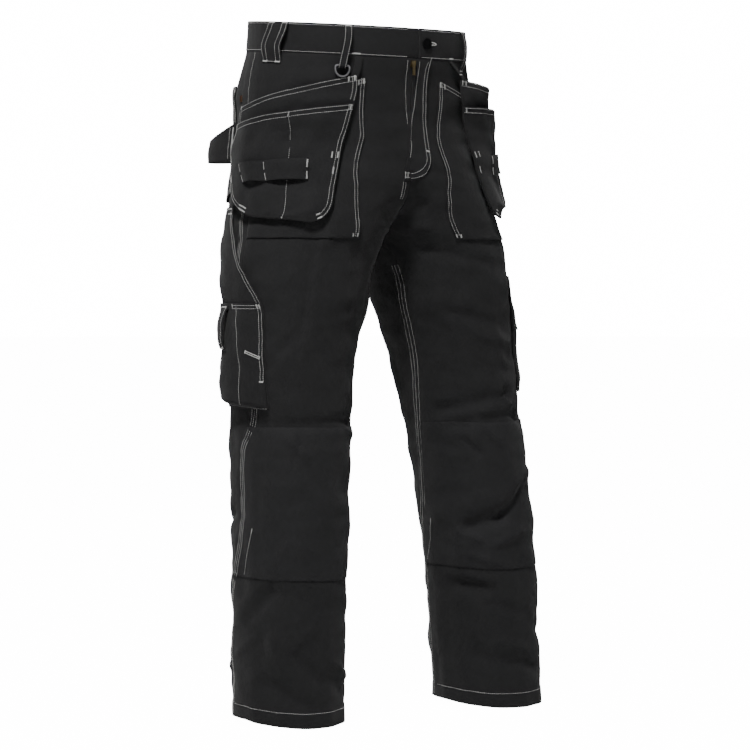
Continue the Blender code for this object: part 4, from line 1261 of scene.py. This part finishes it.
# %% Waistband and fly
band_turns = np.linspace(-87.0, 266, 40)
sew("waist", band_form, [(turn, WAIST_TOP - 3.0) for turn in band_turns])
sew("waist", band_form, [(turn, WAIST_SEAM + 2.2) for turn in band_turns])
tack("waist", band_form, (236.5, WAIST_SEAM + 2.6), (241.0, WAIST_SEAM + 2.6))
tack("waist", band_form, (-66.0, WAIST_SEAM + 2.6), (-62.0, WAIST_SEAM + 2.6))
satin("waist", band_form, ((-84.6, 1008.8), (-79.0, 1006.6)), width=1.9)
satin("waist", band_form, ((-84.0, 1001.5), (-79.4, 1003.6)), width=1.9)
satin("waist", band_form, ((-79.0, 1006.8), (-77.4, 1004.6), (-79.3, 1003.0)), width=1.9)
J_ROW = ((30, 984), (26, 963), (27, 915), (32, 867), (36.5, 835), (36.5, 818), (29, 803), (12, 796.5),
         (-6, 796))
J_INNER = ((24.5, 978), (20.5, 963), (21.5, 915), (26.5, 867), (30.5, 835), (30.5, 822), (24, 810.5),
           (10, 803.5), (-6, 802.5))
for row in (J_ROW, J_INNER):
    sew("fly", fly_form, row)
sew("fly", fly_form, ((8, 978), (7, 930), (3.5, 885), (2, 850), (0.5, 826)))
tack("fly", fly_form, (30, 838), (37, 836.5))
tack("fly", fly_form, (-6.5, 794.5), (-6.5, 804.5), width=2.0)
tack("fly", fly_form, (-1.5, 795), (-1.5, 804), width=2.0)
right_edge = ((-12.5, 979), (-11.5, 955), (-10.0, 930), (-7.5, 905), (-4.0, 880))
sew("fly", fronts[RIGHT], [(float(front_spot(*spot)[1]), spot[1]) for spot in right_edge])
for across in (-4.0, -9.0):
    row = ((across, 789), (across, 780), (across - 1.5, 764))
    sew("fly", fronts[RIGHT], [(float(front_spot(*spot)[1]), spot[1]) for spot in row])

# %% [markdown]
# ## Stitches of the front pocket patches
# Two close rows run down the inner edge and along the slanted mouth of each patch. Rows are
# given in shares of the patch and moved in from its edge by a distance, so that they stay even.

# %% Front pockets
for side in (RIGHT, LEFT):
    form = patches[side]
    for row in (2.0, 6.8):
        sew("pockets", form, along(side, (0, 0.01), (0, 0.3), (0, 0.6), (0, 0.99)), distance=row)
        sew("pockets", form, along(side, (0.01, 1), (0.5, 1), (0.99, 1)), distance=row)
    for near in (0.015, 0.05):
        tack("pockets", form, (near, 0.96), (near, 0.995))
        tack("pockets", form, (near, 0.01), (near, 0.03))

# %% [markdown]
# ## Stitches of the hanging tool pockets
# Both plies have two rows along the mouth, and the edges end in bar tacks at the corners. One
# row down the middle splits the pouch into two compartments, and each tool loop is held by
# short tacks. The left pocket hangs outwards, so that its front edge shows tacks alone.

# %% Hanging pockets
for side in (RIGHT, LEFT):
    group = "holster_" + WORDS[side]
    back_ply, front_ply = holster_backs[side], pouches[side]
    for row in (1.8, 8.4):
        sew(group, back_ply, along(side, (0.01, 9), (0.5, 9), (0.99, 9)), distance=row)
        sew(group, front_ply, along(side, (0.01, 7), (0.22, 7), (0.45, 7), (0.72, 7), (0.99, 7)),
            distance=row)
    for row in (2.2, 7.6) if side == RIGHT else ():
        sew(group, back_ply, along(side, (0, 7.15), (0, 8.9)), distance=row)
        sew(group, front_ply, along(side, (0, 0.75), (0, 2), (0, 4), (0, 6.9)), distance=row)
    for row in (2.2, 7.6):
        sew(group, back_ply, along(side, (1, 8.9), (1, 7.15)), distance=row)
        sew(group, front_ply, along(side, (1, 6.9), (1, 4), (1, 2), (1, 0.9)), distance=row)
        tack(group, front_ply, *(tuple(beside(front_ply, along(side, (1, 1.3), (1, 0.7)), row)[end])
                                 for end in (0, -1)))
        tack(group, front_ply, *(tuple(beside(front_ply, along(side, (0, 0.55), (0, 0.95)), row)[end])
                                 for end in (0, -1)))
    sew(group, front_ply, along(side, *((share, level) for level, share in
                                        ((6.7, 0.44), (5.5, 0.39), (4.2, 0.36), (2.5, 0.39), (0.2, 0.443)))))
    for u, low, high in ((0.44, 6.6, 6.95), (0.444, 0.1, 0.4), (0.975, 6.65, 6.95),
                         (0.02, 6.65, 6.95), (0.02, 4.25, 4.5), (0.06, 4.25, 4.5), (0.035, 3.5, 3.85),
                         (0.96, 4.3, 4.6), (0.97, 3.3, 3.7)):
        tack(group, front_ply, (u, low), (u, high))
    for u in (0.02, 0.06, 0.975):
        tack(group, back_ply, (u, 8.65), (u, 8.98))
    for stop in TOOL_BAND_TACKS:
        across = mix(0.015, 0.985, (stop - TOOL_BAND_TACKS[0]) / (TOOL_BAND_TACKS[2] - TOOL_BAND_TACKS[0]))
        for low, high in ((0.04, 0.42), (0.6, 0.96)):
            tack(group, tool_bands[side], (across, low), (across, high), face=0.4)
    for v in (0.06, 0.45) if side == LEFT else ():
        tack(group, straps[side], (0.1, v), (0.9, v), width=2.0)

# %% [markdown]
# ## Stitches of the belt loops, the thigh and the seat
# Belt loops have a row along each edge and a tack at each end. The ruler pocket, its box and
# the cargo pocket are sewn round their edges. The buttonhole in the box is two dense rows of
# slanted thread round a slit.

# %% Loops, thigh and seat
for name, (turn, width, path, slant) in BELT_LOOPS.items():
    form = loop_forms[name]
    rows = (-0.45, -0.24, 0.24, 0.45) if width > 20 else (-0.39, 0.39)
    for row in rows:
        sew("loops", form, [(row * width, share) for share in np.linspace(0.03, 0.97, 9)])
    ends = (0.03, 0.985) if path is LOOP_PATH else (0.03,)
    for share in ends:
        for start, end in (((-0.47, -0.2), (0.2, 0.47)) if width > 20 else ((-0.45, 0.45),)):
            tack("loops", form, (start * width, share), (end * width, share))
    if width > 20:
        sew("loops", form, ((-0.47 * width, 0.985), (0.47 * width, 0.985)))
for row in (2.0, 6.6):
    sew("thigh_right", ruler, ((0, 0.99), (0, 0.8), (0, 0.65), (0, 0.52)), distance=-row)
    sew("thigh_right", ruler, ((1, 0.99), (1, 0.6), (1, 0.3), (1, 0.01)), distance=row)
    sew("thigh_right", box, ((0.0, 0.99), (0.1, 0.99), (0.3, 0.99), (0.42, 0.99)), distance=row)
    sew("thigh_right", box, ((0, 0.97), (0, 0.6), (0, 0.27)), distance=-row)
sew("thigh_right", ruler, ((0.02, 1), (0.5, 1), (0.98, 1)), distance=2.0)
sew("thigh_right", box, ((0.01, 0), (0.5, 0), (0.99, 0)), distance=-2.4)
sew("thigh_right", box, ((0.99, 0.98), (0.99, 0.5), (0.99, 0.02)), distance=1.0)
sew("thigh_right", box, ((0.35, 0.97), (0.33, 0.6), (0.31, 0.3), (0.31, 0.03)))
for form, start, end in (
        (box, (0.02, 0.955), (0.02, 0.99)), (box, (0.05, 0.955), (0.05, 0.99)),
        (box, (0.42, 0.955), (0.42, 0.99)), (box, (0.012, 0.265), (0.055, 0.265)),
        (ruler, (0.03, 0.99), (0.3, 0.99)), (ruler, (0.03, 0.965), (0.2, 0.965)),
        (ruler, (0.8, 0.985), (0.96, 0.985)),
        (rear_loop, (0.1, 0.03), (0.9, 0.03)), (rear_loop, (0.1, 0.97), (0.9, 0.97))):
    tack("thigh_right", form, start, end)
for across in (0.15, 0.85):
    sew("thigh_right", rear_loop, ((across, 0.04), (across, 0.5), (across, 0.96)))
buttonhole("thigh_right", box, (0.215, 0.535), (0.04, 0.487))
for row in (2.0, 7.0):
    sew("thigh_left", flap, ((0.99, 0), (0.5, 0), (0.01, 0)), distance=-row)
    sew("thigh_left", flap, ((0.99, 1), (0.5, 1), (0.01, 1)), distance=row)
    sew("thigh_left", cargo, ((1, 0.98), (1, 0.5), (1, 0.01)), distance=-row)
    sew("thigh_left", cargo, ((0.01, 0), (0.5, 0), (0.99, 0)), distance=row)
for side in (RIGHT, LEFT):
    form = back_pockets[side]
    for row in (2.0, 7.0):
        sew("seat_pockets", form, along(side, (0, 0.01), (0, 0.5), (0, 0.97)), distance=row)
        sew("seat_pockets", form, along(side, (0.01, 1), (0.5, 1), (0.99, 1)), distance=row)
        sew("seat_pockets", form, along(side, (1, 0.97), (1, 0.5), (1, 0.01)), distance=row)
        sew("seat_pockets", form, along(side, (0.99, 0), (0.75, 0), (0.5, 0), (0.25, 0), (0.01, 0)),
            distance=row)
    for u in (0.02, 0.98):
        tack("seat_pockets", form, (u, 0.94), (u, 0.99))
for u in (0.03, 0.97):
    tack("seat_pockets", hammer, (u, 0.1), (u, 0.9))
    sew("seat_pockets", hammer, ((u + 0.03 * np.sign(0.5 - u), 0.05), (u + 0.03 * np.sign(0.5 - u), 0.95)))

# %% [markdown]
# ## Stitches of the knee patches
# The patches are folded in at the top and bottom, where no thread shows. A short slanted row
# at each lower corner closes the opening through which the pad is pushed in. After that, all
# the stitches that were planned in the cells above are made, one joined mesh for each area.

# %% Knees
for side in (RIGHT, LEFT):
    sew("knees", knees[side], ((-12, 275), (-7, 248), (1.5, 212)))
    satin("knees", knees[side], ((-13, 281), (-12, 275)), width=1.8)
    sew("knees", knees[side], ((-181, 273), (-187, 244), (-194, 214)))
    satin("knees", knees[side], ((-180, 279), (-181, 273)), width=1.8)

make_threads(PALE_THREAD)

# %% [markdown]
# ## Metal
# The D-ring, the zip's slider and tab and the button are simple enough in the frame that they
# keep their solids. They get their finishes here.

# %% Metal
METALS = {"dring": WIRE, "zip_slider": BRASS, "zip_tab": BRASS, "button": DARK_METAL}
for name, finish in METALS.items():
    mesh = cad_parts[name].data
    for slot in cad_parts[name].material_slots:
        slot.material = finish
    print(name, "has", len(mesh.polygons), "faces and", len(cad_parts[name].material_slots), "finishes")

# %% [markdown]
# ## Floor, light and camera
# A pale floor runs out to a white surround, which also gives most of the light: in such even
# light, black cloth shows its folds by how much of the sky each slope sees. One large soft lamp
# from the upper left models the knees and pockets a little more.

# %% Floor and light
FLOOR_HEIGHT = -1.0165
SKY_LIGHT, SKY_SHOWN, FLOOR_GLOW = 0.04, 16.0, 15.0
bpy.ops.object.select_all(action="DESELECT")
bpy.ops.mesh.primitive_circle_add(vertices=96, radius=30, fill_type="NGON", location=(0, 0, FLOOR_HEIGHT))
floor = bpy.context.object
floor.name = "floor"
pale = Finish("pale_floor", (0.9, 0.9, 0.9), 0.9)
pale.set("Base Color", pale.between(pale.noise(0.4), (0.89, 0.89, 0.89), (0.91, 0.91, 0.91)))
seen = pale.node("ShaderNodeLightPath", {})
glow = pale.node("ShaderNodeEmission", {}, Strength=FLOOR_GLOW)
output = pale.tree.nodes["Material Output"]
both = pale.node("ShaderNodeAddShader", {}, Wire(pale, pale.surface.outputs[0]), glow)
shown = pale.node("ShaderNodeMixShader", {}, seen, Wire(pale, pale.surface.outputs[0]), both)
pale.tree.links.new(shown.socket, output.inputs["Surface"])
floor.data.materials.append(pale.material)

world = bpy.data.worlds.new("white_surround")
world.use_nodes = True
sky = world.node_tree
lit, shown = sky.nodes["Background"], sky.nodes.new("ShaderNodeBackground")
ray, choice = sky.nodes.new("ShaderNodeLightPath"), sky.nodes.new("ShaderNodeMixShader")
for background, strength in ((lit, SKY_LIGHT), (shown, SKY_SHOWN)):
    background.inputs["Color"].default_value = (1, 1, 1, 1)
    background.inputs["Strength"].default_value = strength
sky.links.new(ray.outputs["Is Camera Ray"], choice.inputs["Fac"])
sky.links.new(lit.outputs[0], choice.inputs[1])
sky.links.new(shown.outputs[0], choice.inputs[2])
sky.links.new(choice.outputs[0], sky.nodes["World Output"].inputs["Surface"])
bpy.context.scene.world = world


def hang_lamp(name, place, target, size, watts):
    lamp = bpy.data.lights.new(name, "AREA")
    lamp.shape, lamp.size, lamp.energy = "DISK", size, watts
    holder = bpy.data.objects.new(name, lamp)
    holder.location = place
    holder.rotation_euler = (Vector(target) - Vector(place)).to_track_quat("-Z", "Y").to_euler()
    bpy.context.scene.collection.objects.link(holder)


hang_lamp("soft_key", (-1.9, -1.6, 3.2), (0, 0, -0.5), 0.8, 132)
hang_lamp("soft_fill", (0.6, -3.6, 0.2), (0, 0, -0.5), 2.2, 4)
hang_lamp("back_fill", (0.8, 3.6, 1.6), (0, 0, -0.5), 2.0, 12)

# %% [markdown]
# ## Camera
# A long lens stands at hip height to the wearer's right, a little above the middle of the
# garment and looking slightly down, so that both legs and the front are seen.

# %% Camera
CAMERA_PLACE = (-2.5056, -3.4946, -0.365)
CAMERA_TURN, CAMERA_DIP = math.radians(36), math.radians(1.87)
lens = bpy.data.cameras.new("camera")
lens.lens, lens.sensor_width = 135.8, 36.0
camera = bpy.data.objects.new("camera", lens)
camera.location = CAMERA_PLACE
ahead = Vector((math.sin(CAMERA_TURN) * math.cos(CAMERA_DIP), math.cos(CAMERA_TURN) * math.cos(CAMERA_DIP),
                -math.sin(CAMERA_DIP)))
camera.rotation_euler = ahead.to_track_quat("-Z", "Y").to_euler()
bpy.context.scene.collection.objects.link(camera)
bpy.context.scene.camera = camera

# %% [markdown]
# ## A plain metal tab
# A small copper-coloured tab is fixed beside the outer edge of the right back pocket. It is a cube
# squashed to a thin plate with rounded corners and turned to the slopes of the cloth, so that
# it lies flat on the back panel.

# %% Metal tab
TAB_SPOT, TAB_SIZE = (15.5, 911.0), (0.0075, 0.0011, 0.0095)
COPPER = make_metal("copper_tab", (0.25, 0.13, 0.07), (0.5, 0.3, 0.2), 0.35)
bpy.ops.object.select_all(action="DESELECT")
bpy.ops.mesh.primitive_cube_add(size=1)
tab = bpy.context.object
tab.name = "pocket_tab"
spot = backs[RIGHT].at(*TAB_SPOT, 1.4)
across_it, up_it = (slope / np.linalg.norm(slope) for slope in backs[RIGHT].slopes(*TAB_SPOT))
turn = Matrix((across_it, np.cross(up_it, across_it), up_it)).transposed().to_4x4()
tab.matrix_world = Matrix.Translation(Vector(spot)) @ turn @ Matrix.Diagonal((*TAB_SIZE, 1))
bpy.ops.object.transform_apply(location=True, rotation=True, scale=True)
bpy.ops.object.mode_set(mode="EDIT")
bpy.ops.mesh.select_all(action="SELECT")
bpy.ops.mesh.bevel(offset=0.0004, segments=2, affect="EDGES")
bpy.ops.mesh.normals_make_consistent(inside=False)
bpy.ops.object.mode_set(mode="OBJECT")
tab.data.materials.append(COPPER)
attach(tab, "root")
print("tab at", np.round(spot, 3))

# %% [markdown]
# ## The end
# The view layer is brought up to date.

# %% The end
bpy.context.view_layer.update()
